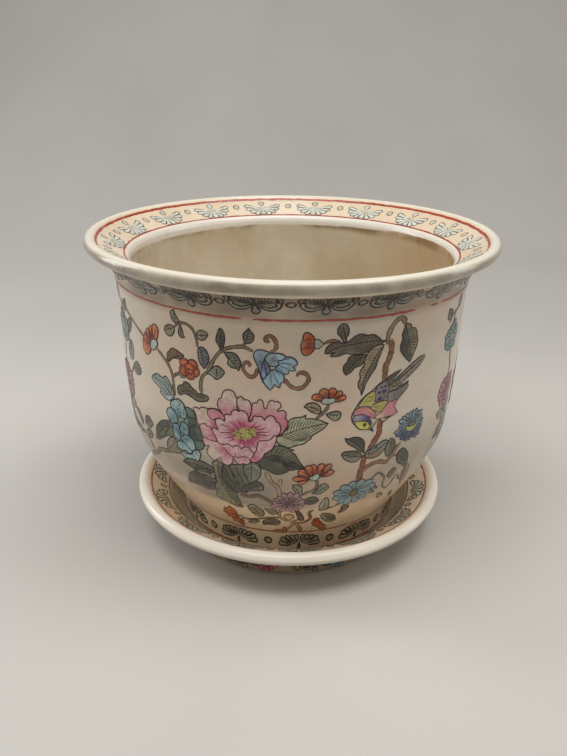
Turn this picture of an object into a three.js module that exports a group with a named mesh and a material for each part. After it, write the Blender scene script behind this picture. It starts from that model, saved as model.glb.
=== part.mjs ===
// A glazed ceramic jardiniere that stands loose in the well of its matching stand.
// Millimetres, +Z up. The origin is the centre of the stand's foot, on the surface it stands on.
// Both pieces are turned shapes, so each is one closed profile of (radius, height) revolved about Z.

import * as THREE from 'three';

// ---- Driving dimensions ----

const ROUND_STEPS = 60;          // steps round each piece
const SPLINE_STEPS = 2;          // samples between two stations of the pot's outer wall
const LIP_STEPS = 6;             // steps round a lip

const REST_GAP = 0.3;            // between the pot's foot and the well floor

// Stand
const WELL_FLOOR = 14.0;         // height of the floor that the pot stands on
const WELL_RADIUS = 89.5;        // flat part of the well floor
const STAND_RECESS = 5.0;        // height of the hollow under the stand
const STAND_RING_IN = 82.0;      // foot ring, inner radius at the bottom
const STAND_RING_OUT = 93.2;     // foot ring, outer radius at the bottom
const STAND_LIP = { radius: 120.6, height: 34.4, roll: 4.7 };
const STAND_FLANGE_IN = { radius: 100.6, height: 28.2 };
const STAND_FLANGE_OUT = { radius: 115.6, height: 36.2 };

// Pot
const POT_FOOT = WELL_FLOOR + REST_GAP;
const POT_RING_IN = 77.0;        // foot ring, inner radius at the bottom
const POT_RING_OUT = 86.8;       // foot ring, outer radius at the bottom
const POT_UNDERSIDE = 21.0;      // height of the floor's underside, inside the foot ring
const POT_FLOOR = 28.8;          // height of the inside floor
const POT_FLOOR_RADIUS = 56.0;   // flat part of the inside floor
const DRAIN_RADIUS = 9.0;
const EDGE = 1.2;                // softened edge of the drain hole
const POT_LIP = { radius: 146.1, height: 237.8, roll: 4.4 };
const POT_FLANGE_OUT = { radius: 142.0, height: 238.4 };
const POT_FLANGE_IN = { radius: 122.4, height: 228.3 };

// Outer wall of the pot from the foot to the underside of the rim: radius, height.
const POT_WALL_OUT = [
  [88.2, 16.4], [89.6, 28.0], [92.3, 36.8], [103.2, 54.8], [114.6, 75.2], [122.6, 95.5],
  [126.3, 117.5], [128.4, 152.0], [129.4, 190.0], [131.9, 218.0], [141.4, 230.2],
];

// Inner wall of the pot from the mouth down to the floor: radius, height.
const POT_WALL_IN = [
  [119.9, 226.2], [119.0, 221.0], [120.0, 199.0], [119.2, 155.0], [117.2, 118.0],
  [113.4, 96.0], [105.0, 75.0], [92.5, 54.0], [80.0, 40.0], [69.0, 32.4],
];

// Outer wall of the stand from its foot to the underside of the flange: radius, height.
const STAND_WALL_OUT = [
  [94.9, 2.6], [95.6, 9.0], [97.2, 15.4], [101.0, 20.6], [107.6, 24.8], [114.6, 28.6],
];

// Wall of the well from the flange down to the floor: radius, height.
const WELL_WALL = [
  [99.2, 26.2], [97.3, 22.4], [94.6, 18.2], [91.9, 15.2],
];

const GLAZE_COLOUR = 0xd9cfc1;

// ---- Profiles ----

function at(radius, height) {
  return new THREE.Vector2(radius, height);
}

// Samples of a smooth curve through the stations of a wall, with a number of steps from one to the next.
function wall(stations, steps = 1) {
  const curve = new THREE.SplineCurve(stations.map(([r, z]) => at(r, z)));
  return curve.getPoints(steps * (stations.length - 1));
}

// Samples of a lip's round edge, from its underside up and over its top.
function lip({ radius, height, roll }, fromDeg, toDeg) {
  const points = [];
  for (let i = 0; i <= LIP_STEPS; i++) {
    const angle = THREE.MathUtils.degToRad(fromDeg + ((toDeg - fromDeg) * i) / LIP_STEPS);
    points.push(at(radius + roll * Math.cos(angle), height + roll * Math.sin(angle)));
  }
  return points;
}

// The pot's section is a closed ring, because the drain hole passes through its middle.
function potProfile() {
  const outline = [
    at(DRAIN_RADIUS, POT_UNDERSIDE + EDGE),
    at(DRAIN_RADIUS + EDGE, POT_UNDERSIDE),
    at(POT_RING_IN - 3.5, POT_UNDERSIDE),
    at(POT_RING_IN - 1.4, POT_FOOT + 2.6),
    at(POT_RING_IN, POT_FOOT),
    at(POT_RING_OUT, POT_FOOT),
    ...wall(POT_WALL_OUT, SPLINE_STEPS),
    ...lip(POT_LIP, -80, 125),
    at(POT_FLANGE_OUT.radius, POT_FLANGE_OUT.height + 0.6),
    at(POT_FLANGE_OUT.radius - 2.5, POT_FLANGE_OUT.height - 1.3),
    at(POT_FLANGE_IN.radius, POT_FLANGE_IN.height),
    ...wall(POT_WALL_IN),
    at(POT_FLOOR_RADIUS + 5.0, POT_FLOOR + 0.7),
    at(POT_FLOOR_RADIUS, POT_FLOOR),
    at(DRAIN_RADIUS + EDGE, POT_FLOOR),
    at(DRAIN_RADIUS, POT_FLOOR - EDGE),
  ];
  outline.push(outline[0].clone());
  return outline;
}

// The stand's section runs from the axis under its floor, round the flange, to the axis on the well floor.
function standProfile() {
  return [
    at(0, STAND_RECESS),
    at(STAND_RING_IN - 3.0, STAND_RECESS),
    at(STAND_RING_IN, 0),
    at(STAND_RING_OUT, 0),
    ...wall(STAND_WALL_OUT),
    ...lip(STAND_LIP, -75, 125),
    at(STAND_FLANGE_OUT.radius, STAND_FLANGE_OUT.height),
    at(STAND_FLANGE_IN.radius, STAND_FLANGE_IN.height),
    ...wall(WELL_WALL),
    at(WELL_RADIUS, WELL_FLOOR),
    at(0, WELL_FLOOR),
  ];
}

// ---- Pieces ----

// Revolves a profile and turns the lathe's own axis, Y, up to Z.
function turned(name, profile, material) {
  const geometry = new THREE.LatheGeometry(profile, ROUND_STEPS);
  geometry.rotateX(Math.PI / 2);
  const mesh = new THREE.Mesh(geometry, material);
  mesh.name = name;
  return mesh;
}

function glaze() {
  return new THREE.MeshStandardMaterial({ color: GLAZE_COLOUR, roughness: 0.22, metalness: 0 });
}

const assembly = new THREE.Group();
assembly.add(turned('stand', standProfile(), glaze()));
assembly.add(turned('jardiniere', potProfile(), glaze()));

export default assembly;
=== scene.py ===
"""A glazed ceramic jardiniere on its matching stand, painted with flowers, leaves and a bird.

Sizes are written in millimetres and turned to metres as the meshes are made. A painted sheet has u, in mm
round the piece at the sheet's ring radius, from the front (-Y) towards +X, and v, in mm down its section.
"""

import math
import random

import bpy
import numpy as np
from mathutils import Matrix, Vector
from mathutils.geometry import delaunay_2d_cdt


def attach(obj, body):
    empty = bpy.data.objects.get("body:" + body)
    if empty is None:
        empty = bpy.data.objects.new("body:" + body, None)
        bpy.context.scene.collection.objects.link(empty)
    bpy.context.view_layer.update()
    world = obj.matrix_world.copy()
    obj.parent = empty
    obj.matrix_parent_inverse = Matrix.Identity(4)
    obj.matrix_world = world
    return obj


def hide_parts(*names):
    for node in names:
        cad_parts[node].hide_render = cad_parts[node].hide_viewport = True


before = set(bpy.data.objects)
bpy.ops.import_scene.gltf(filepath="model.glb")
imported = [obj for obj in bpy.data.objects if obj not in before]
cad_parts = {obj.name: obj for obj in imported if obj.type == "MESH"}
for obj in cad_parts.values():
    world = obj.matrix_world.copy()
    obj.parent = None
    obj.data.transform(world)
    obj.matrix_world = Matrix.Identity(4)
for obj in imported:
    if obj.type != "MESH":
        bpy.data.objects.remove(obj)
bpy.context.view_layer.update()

MM = 0.001

# ---- The two turned pieces, as (radius, height) in mm ----
# These are the solids' values, but for a soft crease on the pot's wall at a height of about 70.

POT_FOOT = 14.3
POT_RING_IN, POT_RING_OUT = 77.0, 86.8
POT_UNDERSIDE = 21.0
POT_FLOOR, POT_FLOOR_RADIUS = 28.8, 56.0
DRAIN_RADIUS = 9.0
DRAIN_SEAM = POT_UNDERSIDE + 4.0              # height in the drain hole where the glaze begins
POT_LIP = (146.1, 237.8, 4.4)                 # radius, height, roll
POT_FLANGE_IN = (122.4, 228.3)
POT_WALL_OUT = [
    (88.2, 16.4), (89.6, 28.0), (92.3, 36.8), (103.2, 54.8), (111.0, 68.0), (112.6, 70.4), (114.0, 73.0),
    (122.7, 95.5), (126.3, 117.5), (128.4, 152.0), (129.4, 190.0), (131.9, 218.0), (141.4, 230.2),
]
POT_WALL_IN = [
    (119.9, 226.2), (119.0, 221.0), (120.0, 199.0), (119.2, 155.0), (117.2, 118.0),
    (113.4, 96.0), (105.0, 75.0), (92.5, 54.0), (80.0, 40.0), (69.0, 32.4),
]

WELL_FLOOR, WELL_RADIUS = 14.0, 89.5
STAND_RECESS, STAND_RING_IN, STAND_RING_OUT = 5.0, 82.0, 93.2
STAND_LIP = (120.6, 34.4, 4.7)
STAND_FLANGE_IN = (100.6, 28.2)
STAND_WALL_OUT = [(94.9, 2.6), (95.6, 9.0), (97.2, 15.4), (101.0, 20.6), (107.6, 24.8), (114.6, 28.6)]
WELL_WALL = [(99.2, 26.2), (97.3, 22.4), (94.6, 18.2), (91.9, 15.2)]

# Radii where a flat floor has one more ring of points
POT_FLOOR_STEP = 30.0
UNDERSIDE_STEPS = (40, 60)
WELL_STEPS = (60, 25)

# The softened corner inside each lip, and where it runs out on the flange
POT_COVE = [(142.0, 239.1), (140.6, 238.0), (139.0, 236.85)]
POT_COVE_END = (137.5, 236.07)
STAND_COVE = [(116.5, 37.05), (115.6, 36.3), (114.7, 35.75)]
STAND_COVE_END = (113.8, 35.24)
# The last painted points on each flange, past the cove
POT_LIP_TOP = [(142.8, 240.25), (143.6, 241.4)]
STAND_LIP_TOP = [(117.9, 38.25), (118.6, 38.7)]

ROUND_STEPS = 200                             # steps round each piece
SHELL_CREASE, PAINT_CREASE = 50, 35           # degrees from which an edge is shaded sharp
NECK_LINE_HEIGHT = 213.4                      # v = 0 on the pot's outer wall

# ---- Colours, as sRGB 0 to 255 ----

CREAM = (226, 212, 192)
PEACH = (226, 190, 160)
SPECK = (120, 96, 70)
INK = (30, 22, 18)
ROSE_INK = (84, 22, 42)
RUST_INK = (72, 26, 14)
IRON_RED = (178, 74, 54)
DEEP_ORANGE = (178, 80, 38)
TEAL_INK = (30, 44, 44)
CALYX_BLUE = (190, 202, 196)
GREEN = (124, 122, 102)
DARK_GREEN = (90, 88, 72)
LIGHT_GREEN = (178, 176, 146)
GREY_GREEN = (158, 156, 134)
TAN = (186, 162, 126)
BROWN = (156, 108, 74)
DARK_BROWN = (70, 48, 34)
OLIVE_BROWN = (132, 116, 90)
SLATE = (136, 134, 132)


# ---- Curves and sections ----

def catmull_rom(points, steps, closed=False):
    """Samples of a smooth curve through the points; steps is one number, or one for each stretch."""
    p = np.asarray(points, float)
    if closed:
        q = np.vstack([p[-1], p, p[0], p[1]])
    else:
        q = np.vstack([2 * p[0] - p[1], p, 2 * p[-1] - p[-2]])
    stretches = len(q) - 3
    steps = [steps] * stretches if np.isscalar(steps) else steps
    out = []
    for i in range(stretches):
        a, b, c, d = q[i:i + 4]
        t = np.linspace(0, 1, steps[i], endpoint=False)[:, None]
        out.append(0.5 * (2 * b + (c - a) * t + (2 * a - 5 * b + 4 * c - d) * t ** 2
                          + (3 * b - a - 3 * c + d) * t ** 3))
    if not closed:
        out.append(p[-1:])
    return np.vstack(out)


def lip_arc(lip, start_deg, end_deg, steps=18):
    """The round edge of a lip, from its underside up and over its top."""
    radius, height, roll = lip
    angles = np.radians(np.linspace(start_deg, end_deg, steps + 1))
    return np.column_stack([radius + roll * np.cos(angles), height + roll * np.sin(angles)])


def rounded(section, size=0.9):
    """Softens the corners of a short open section by cutting each one twice."""
    for cut in (size, size * 0.3):
        out = [section[0]]
        for before, corner, after in zip(section, section[1:], section[2:]):
            for other in (before, after):
                way = np.subtract(other, corner)
                out.append(np.add(corner, way * min(0.3, cut / np.hypot(*way))))
        section = out + [section[-1]]
    return section


def pot_section():
    """The pot's closed section, as runs of (points, material name)."""
    foot = rounded([
        (DRAIN_RADIUS, DRAIN_SEAM), (DRAIN_RADIUS, POT_UNDERSIDE),
        (POT_RING_IN - 3.5, POT_UNDERSIDE), (POT_RING_IN - 1.4, POT_FOOT + 2.6), (POT_RING_IN, POT_FOOT),
        (POT_RING_OUT, POT_FOOT), POT_WALL_OUT[0],
    ])
    wall = catmull_rom(POT_WALL_OUT, 10)[1:]
    flange = np.linspace(POT_COVE_END, POT_FLANGE_IN, 10)
    lip = np.vstack([lip_arc(POT_LIP, -80, 125), POT_COVE, flange])
    floor = [(POT_FLOOR_RADIUS + 5.0, POT_FLOOR + 0.7), (POT_FLOOR_RADIUS, POT_FLOOR)]
    drain = rounded([(POT_FLOOR_STEP, POT_FLOOR), (DRAIN_RADIUS, POT_FLOOR), (DRAIN_RADIUS, DRAIN_SEAM)])
    inside_wall = np.vstack([catmull_rom(POT_WALL_IN, 8), floor, drain])
    return [(foot, "bare"), (wall, "outer"), (lip, "lip"), (inside_wall, "inner")]


def stand_section():
    """The stand's section, from the axis under its floor, round the flange, to the axis on the well floor."""
    underside = [(r, STAND_RECESS) for r in (0, *UNDERSIDE_STEPS)]
    foot = underside[:-1] + rounded([
        underside[-1], (STAND_RING_IN - 3, STAND_RECESS), (STAND_RING_IN, 0),
        (STAND_RING_OUT, 0), STAND_WALL_OUT[0],
    ])
    wall = catmull_rom(STAND_WALL_OUT, 8)[1:]
    flange = np.linspace(STAND_COVE_END, STAND_FLANGE_IN, 9)
    lip = np.vstack([lip_arc(STAND_LIP, -75, 125), STAND_COVE, flange])
    floor = [(r, WELL_FLOOR) for r in (WELL_RADIUS, *WELL_STEPS, 0)]
    well = np.vstack([catmull_rom(WELL_WALL, 6), floor])
    return [(foot, "bare"), (wall, "outer"), (lip, "lip"), (well, "inner")]


def turned(name, runs, materials, closed):
    """Revolves a section about Z. Each run of the section takes its own material."""
    section = [point for points, _ in runs for point in points]
    names = [material for points, material in runs for _ in points]
    count = len(section)
    verts, rings = [], []
    for r, z in section:
        if r < 1e-6:
            rings.append([len(verts)] * ROUND_STEPS)
            verts.append((0, 0, z * MM))
            continue
        rings.append(list(range(len(verts), len(verts) + ROUND_STEPS)))
        for k in range(ROUND_STEPS):
            a = 2 * math.pi * k / ROUND_STEPS
            verts.append((r * math.sin(a) * MM, -r * math.cos(a) * MM, z * MM))
    faces, slots = [], []
    order = list(materials)
    for i in range(count if closed else count - 1):
        low, high = rings[i], rings[(i + 1) % count]
        for k in range(ROUND_STEPS):
            n = (k + 1) % ROUND_STEPS
            corners = list(dict.fromkeys([low[k], low[n], high[n], high[k]]))
            faces.append(corners)
            slots.append(order.index(names[(i + 1) % count]))
    mesh = bpy.data.meshes.new(name)
    mesh.from_pydata(verts, [], faces)
    for material in materials.values():
        mesh.materials.append(material)
    mesh.polygons.foreach_set("material_index", slots)
    mesh.polygons.foreach_set("use_smooth", [True] * len(faces))
    mesh.set_sharp_from_angle(angle=math.radians(SHELL_CREASE))
    obj = bpy.data.objects.new(name, mesh)
    bpy.context.scene.collection.objects.link(obj)
    return obj


# ---- Painted sheets ----

class Sheet:
    """A face of revolution that is painted on: maps (u, v) and a lift off the glaze to a point."""

    def __init__(self, section, ring, start_height=None):
        self.section = np.asarray(section, float)
        self.ring = ring
        step = np.diff(self.section, axis=0)
        run = np.concatenate([[0], np.cumsum(np.hypot(*step.T))])
        if start_height is not None:
            heights = self.section[:, 1]
            run = run - np.interp(-start_height, -heights, run)
        self.v = run
        slope = np.gradient(self.section, axis=0)
        slope /= np.hypot(*slope.T)[:, None]
        self.normal = np.column_stack([-slope[:, 1], slope[:, 0]])

    def points(self, u, v, lift):
        r = np.interp(v, self.v, self.section[:, 0]) + lift * np.interp(v, self.v, self.normal[:, 0])
        z = np.interp(v, self.v, self.section[:, 1]) + lift * np.interp(v, self.v, self.normal[:, 1])
        angle = np.asarray(u) / self.ring
        return np.column_stack([r * np.sin(angle), -r * np.cos(angle), z]) * MM


POT_SHEET = Sheet(catmull_rom(POT_WALL_OUT, 24)[::-1], 127.0, NECK_LINE_HEIGHT)
RIM_SHEET = Sheet(
    [*np.linspace(POT_FLANGE_IN, POT_COVE_END, 28), *POT_COVE[::-1], *POT_LIP_TOP], 132.0)
STAND_SHEET = Sheet(
    [*np.linspace(STAND_FLANGE_IN, STAND_COVE_END, 20), *STAND_COVE[::-1], *STAND_LIP_TOP], 108.0)
STAND_WALL_SHEET = Sheet(catmull_rom(STAND_WALL_OUT, 12)[::-1], 100.0)


# ---- Colours of a painted shape: each is a function from points to sRGB ----

def linear(srgb):
    """Linear light from sRGB 0 to 255."""
    share = np.asarray(srgb, float) / 255
    return np.where(share <= 0.04045, share / 12.92, ((share + 0.055) / 1.055) ** 2.4)


def mix(a, b, t):
    return np.asarray(a) + (np.asarray(b) - np.asarray(a)) * np.clip(t, 0, 1)[:, None]


def ease(t):
    t = np.clip(t, 0, 1)
    return t * t * (3 - 2 * t)


def flat(colour):
    return lambda p: np.tile(np.asarray(colour, float), (len(p), 1))


def near(point, deep, pale, reach, start=0.0):
    """deep close to a point, pale from a reach away."""
    return lambda p: mix(deep, pale, ease((np.hypot(*(p - np.asarray(point)).T) - start) / reach))


def along(start, end, first, last):
    way = np.subtract(end, start)
    return lambda p: mix(first, last, ease((p - np.asarray(start)) @ way / (way @ way)))


def tinted(shade, point, colour, reach):
    """A shade with a soft patch of another colour round a point."""
    return lambda p: mix(shade(p), colour, 1 - ease(np.hypot(*(p - np.asarray(point)).T) / reach))


def halves(rib, left, right):
    """One colour on each side of a leaf's rib."""
    rib = np.asarray(rib, float)

    def shade(p):
        gap = np.hypot(*(p[:, None, :] - rib[None, :, :]).transpose(2, 0, 1))
        i = np.clip(gap.argmin(1), 1, len(rib) - 1)
        way, off = rib[i] - rib[i - 1], p - rib[i - 1]
        side = way[:, 0] * off[:, 1] - way[:, 1] * off[:, 0]
        return mix(left, right, ease(0.5 + side / (2.2 * np.hypot(*way.T) + 1e-9)))
    return shade


# ---- Paint ----

FIRST_LIFT, LAYER, SINK = 0.05, 0.055, 0.16     # mm above and below the glaze
LINE_STEP, FILL_STEP = 1.5, 2.4                 # mm between the points of a line and inside a shape
OVAL_POINTS = 8                                 # round a ring

# A leaf's lines, in mm and degrees: veins lean and bend towards the tip, and stop short of the edge
LEAF_LINE, VEIN_WIDTH = 0.85, 0.7
VEIN_STEP, VEIN_REACH = 0.8, 26
VEIN_LEAN, VEIN_BEND = 60, 1.3                  # degrees from the rib, and degrees lost each mm
VEIN_SHARE, VEIN_SHADE = 0.93, 0.46             # of the way to the edge, and of the leaf's own brightness


def read(text):
    """Points written as 'x,y x,y'. A * after a point keeps it a sharp corner."""
    words = text.split()
    return (np.array([[float(n) for n in w.rstrip("*").split(",")] for w in words]),
            [w.endswith("*") for w in words])


def smooth(shape, closed, step):
    """A smooth curve through a shape's points, sharp at its corners, with a point about every step mm."""
    if isinstance(shape, str):
        points, corners = read(shape)
    else:
        points, corners = np.asarray(shape, float), [False] * len(shape)
    if closed and any(corners):
        first = corners.index(True)
        points = np.roll(points, -first, axis=0)
        corners = corners[first:] + corners[:first]
        points, corners = np.vstack([points, points[:1]]), corners + [True]
        closed_run = False
    else:
        closed_run = closed

    def sample(run, wrap):
        ends = np.vstack([run, run[:1]]) if wrap else run
        gaps = np.hypot(*np.diff(ends, axis=0).T)
        return catmull_rom(run, [max(1, round(g / step)) for g in gaps], wrap)

    if closed_run or not any(corners[1:-1]):
        out = sample(points, closed_run)
    else:
        cuts = [0] + [i for i in range(1, len(points) - 1) if corners[i]] + [len(points) - 1]
        runs = [sample(points[a:b + 1], False) for a, b in zip(cuts, cuts[1:])]
        out = np.vstack([run[:-1] for run in runs] + [runs[-1][-1:]])
    if closed and not closed_run:
        out = out[:-1]
    return out


def inside(points, ring):
    x, y = points[:, 0][:, None], points[:, 1][:, None]
    ax, ay = ring[:, 0][None], ring[:, 1][None]
    bx, by = np.roll(ring, -1, axis=0).T[:, None, :]
    crosses = ((ay > y) != (by > y)) & (x < (bx - ax) * (y - ay) / (by - ay + 1e-12) + ax)
    return crosses.sum(1) % 2 == 1


class Paint:
    """One painted piece: thin shapes on a sheet, each a closed shell sunk a little in the glaze."""

    def __init__(self, sheet, layer=0):
        self.sheet, self.layer = sheet, layer
        self.verts, self.colours, self.faces, self.cells = [], [], [], []
        self.count = 0
        self.random = random.Random(7)

    def add(self, top, colours, faces, outline, chart, layer):
        """Adds one closed shell: its top points, their colours, top faces, edge ring and chart."""
        n = len(top)
        lift = FIRST_LIFT + LAYER * (self.layer + layer)
        u, v = top[:, 0], top[:, 1]
        self.verts += [self.sheet.points(u, v, lift), self.sheet.points(u, v, -SINK)]
        self.colours += [colours, colours]
        base = self.count
        self.faces += [[base + i for i in f] for f in faces]
        self.faces += [[base + n + i for i in reversed(f)] for f in faces]
        self.faces += [[base + b, base + a, base + n + a, base + n + b] for a, b in outline]
        self.cells.append(np.vstack([chart, chart]))
        self.count += 2 * n

    def build(self, name, body, material):
        mesh = bpy.data.meshes.new(name)
        mesh.from_pydata(np.vstack(self.verts).tolist(), [], self.faces)
        colours = linear(np.vstack(self.colours))
        tint = mesh.attributes.new("paint", "FLOAT_COLOR", "POINT")
        tint.data.foreach_set("color", np.column_stack([colours, np.ones(len(colours))]).ravel())
        chart = np.vstack(pack_charts(self.cells))
        corner = np.zeros(len(mesh.loops), int)
        mesh.loops.foreach_get("vertex_index", corner)
        mesh.uv_layers.new(name="OFBake").data.foreach_set("uv", chart[corner].ravel())
        mesh.polygons.foreach_set("use_smooth", [True] * len(mesh.polygons))
        mesh.set_sharp_from_angle(angle=math.radians(PAINT_CREASE))
        mesh.materials.append(material)
        obj = bpy.data.objects.new(name, mesh)
        bpy.context.scene.collection.objects.link(obj)
        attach(obj, body)
        return obj


def pack_charts(cells, margin=0.7):
    """Lays the charts of all shapes side by side in rows, and scales the whole to a unit square."""
    sizes = [np.ptp(cell, axis=0) + margin for cell in cells]
    width = 1.1 * math.sqrt(sum(w * h for w, h in sizes))
    width = max([width] + [w for w, h in sizes])
    out, x, y, row = [None] * len(cells), 0.0, 0.0, 0.0
    for i in sorted(range(len(cells)), key=lambda i: -sizes[i][1]):
        w, h = sizes[i]
        if x + w > width:
            x, y, row = 0.0, y + row, 0.0
        out[i] = cells[i] - cells[i].min(0) + (x + margin / 2, y + margin / 2)
        x, row = x + w, max(row, h)
    return [cell / max(width, y + row) for cell in out]


class Brush:
    """Paints shapes that are given in a motif's own mm onto a paint's sheet."""

    def __init__(self, paint, shift=(0, 0), turn=0.0, scale=1.0, flip=False):
        self.paint, self.shift, self.turn, self.scale, self.flip = paint, shift, turn, scale, flip

    def place(self, points):
        p = np.asarray(points, float) * self.scale
        if self.flip:
            p = p * (-1, 1)
        c, s = math.cos(math.radians(self.turn)), math.sin(math.radians(self.turn))
        return np.column_stack([c * p[:, 0] - s * p[:, 1], s * p[:, 0] + c * p[:, 1]]) + self.shift

    def fill(self, outline, shade, layer=0, step=FILL_STEP):
        ring = smooth(outline, True, min(step, 1.8))
        x, y = np.meshgrid(*[np.arange(ring[:, k].min() + step / 2, ring[:, k].max(), step) for k in (0, 1)])
        grid = np.column_stack([x.ravel(), y.ravel()])
        grid = grid[inside(grid, ring)] if len(grid) else grid
        if len(grid):
            gap = np.hypot(*(grid[:, None, :] - ring[None, :, :]).transpose(2, 0, 1)).min(1)
            grid = grid[gap > 0.55 * step]
        points = np.vstack([ring, grid])
        found = delaunay_2d_cdt([Vector(p) for p in points], [], [list(range(len(ring)))], 1, 1e-5)
        flat_points, faces = np.array([list(p) for p in found[0]]), [list(f) for f in found[2]]
        placed = self.place(flat_points)
        # The chart has v pointing down, so a face that turns clockwise in it is the one that looks out.
        turned_faces = []
        for f in faces:
            a, b, c = placed[f[0]], placed[f[1]], placed[f[2]]
            out = (b[0] - a[0]) * (c[1] - a[1]) - (b[1] - a[1]) * (c[0] - a[0]) < 0
            turned_faces.append(f if out else f[::-1])
        edges = {}
        for f in turned_faces:
            for a, b in zip(f, f[1:] + f[:1]):
                edges[(a, b)] = True
        outline_edges = [(a, b) for a, b in edges if (b, a) not in edges]
        colours = shade(flat_points) if callable(shade) else flat(shade)(flat_points)
        self.paint.add(placed, colours, turned_faces, outline_edges, placed, layer)

    def line(self, path, width, colour, layer=0.5, closed=False, ends=0.35, step=LINE_STEP):
        """A brush stroke: width in mm, thinner at its ends, with a slightly uneven hand."""
        way = smooth(path, closed, step)
        if closed:
            way = np.vstack([way, way[:1]])
        placed = self.place(way)
        n = len(placed)
        if n < 2:
            return
        slope = np.gradient(placed, axis=0)
        if closed:
            slope[0] = slope[-1] = placed[1] - placed[-2]
        slope /= np.hypot(*slope.T)[:, None] + 1e-9
        across = np.column_stack([slope[:, 1], -slope[:, 0]])
        run = np.concatenate([[0], np.cumsum(np.hypot(*np.diff(placed, axis=0).T))])
        hand = np.array([self.paint.random.uniform(0.86, 1.14) for _ in range(n)])
        if closed:
            hand[-1] = hand[0]
        else:
            reach = min(3.0, run[-1] / 2)
            hand *= np.clip(np.minimum(run, run[-1] - run) / reach * (1 - ends) + ends, ends, 1)
        half = np.asarray(width) * 0.5 * hand
        left, right = placed + across * half[:, None], placed - across * half[:, None]
        top = np.empty((2 * n, 2))
        top[0::2], top[1::2] = left, right
        chart = np.empty((2 * n, 2))
        chart[0::2], chart[1::2] = np.column_stack([run, half]), np.column_stack([run, -half])
        # left is at -v when the stroke runs along +u, so left, right, next right, next left looks out.
        faces = [[2 * i, 2 * i + 1, 2 * i + 3, 2 * i + 2] for i in range(n - 1)]
        edges = [(2 * i + 2, 2 * i) for i in range(n - 1)] + [(2 * i + 1, 2 * i + 3) for i in range(n - 1)]
        edges += [(0, 1), (2 * n - 1, 2 * n - 2)]
        colours = colour(top) if callable(colour) else flat(colour)(top)
        self.paint.add(top, colours, faces, edges, chart, layer)

    def ring(self, centre, radii, width, colour, layer=0.5, fill=None):
        """An oval with an outline, a filling or both."""
        angles = np.linspace(0, 2 * math.pi, OVAL_POINTS, endpoint=False)
        points = np.asarray(centre) + np.column_stack([radii[0] * np.cos(angles), radii[1] * np.sin(angles)])
        if fill is not None:
            self.fill(points, fill, layer - 0.5)
        if width:
            self.line(points, width, colour, layer, closed=True)

    def petal(self, outline, shade, ink, width=0.8, layer=0, line=None):
        """A filled shape and its outline, or only the part of the outline that is painted."""
        self.fill(outline, shade, layer)
        if line is None:
            self.line(outline, width, ink, layer + 0.5, closed=True)
        elif len(line):
            self.line(line, width, ink, layer + 0.5)

    def leaf(self, outline, rib, left, right, veins=2.3, layer=0):
        """A leaf with a rib from stalk to tip, and side veins, veins mm apart, that lean to the tip."""
        ring, way = smooth(outline, True, 1.0), smooth(rib, False, 1.0)
        self.fill(outline, halves(way, left, right), layer)
        run = np.concatenate([[0], np.cumsum(np.hypot(*np.diff(way, axis=0).T))])
        for s in np.arange(veins * 1.2, run[-1] - veins, veins):
            start, ahead = (np.array([np.interp(at, run, way[:, k]) for k in (0, 1)]) for at in (s, s + 0.5))
            heading = math.atan2(*(ahead - start)[::-1])
            for side, ground in ((-1, left), (1, right)):
                reach = np.arange(VEIN_STEP, VEIN_REACH, VEIN_STEP)
                bend = heading + side * math.radians(VEIN_LEAN) - side * reach * math.radians(VEIN_BEND)
                track = start + np.column_stack([reach * np.cos(bend), reach * np.sin(bend)])
                within = inside(track, ring)
                stop = len(within) if within.all() else int(np.argmin(within))
                if stop >= 3:
                    end = track[stop - 1] * VEIN_SHARE + start * (1 - VEIN_SHARE)
                    tint = np.asarray(ground) * VEIN_SHADE
                    self.line([start, track[stop // 2], end], VEIN_WIDTH, tint, layer + 0.4, step=3.0)
        self.line(way, LEAF_LINE * 0.8, INK, layer + 0.45, step=2.0)
        self.line(outline, LEAF_LINE, INK, layer + 0.5, closed=True)


# ---- Materials ----

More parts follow.
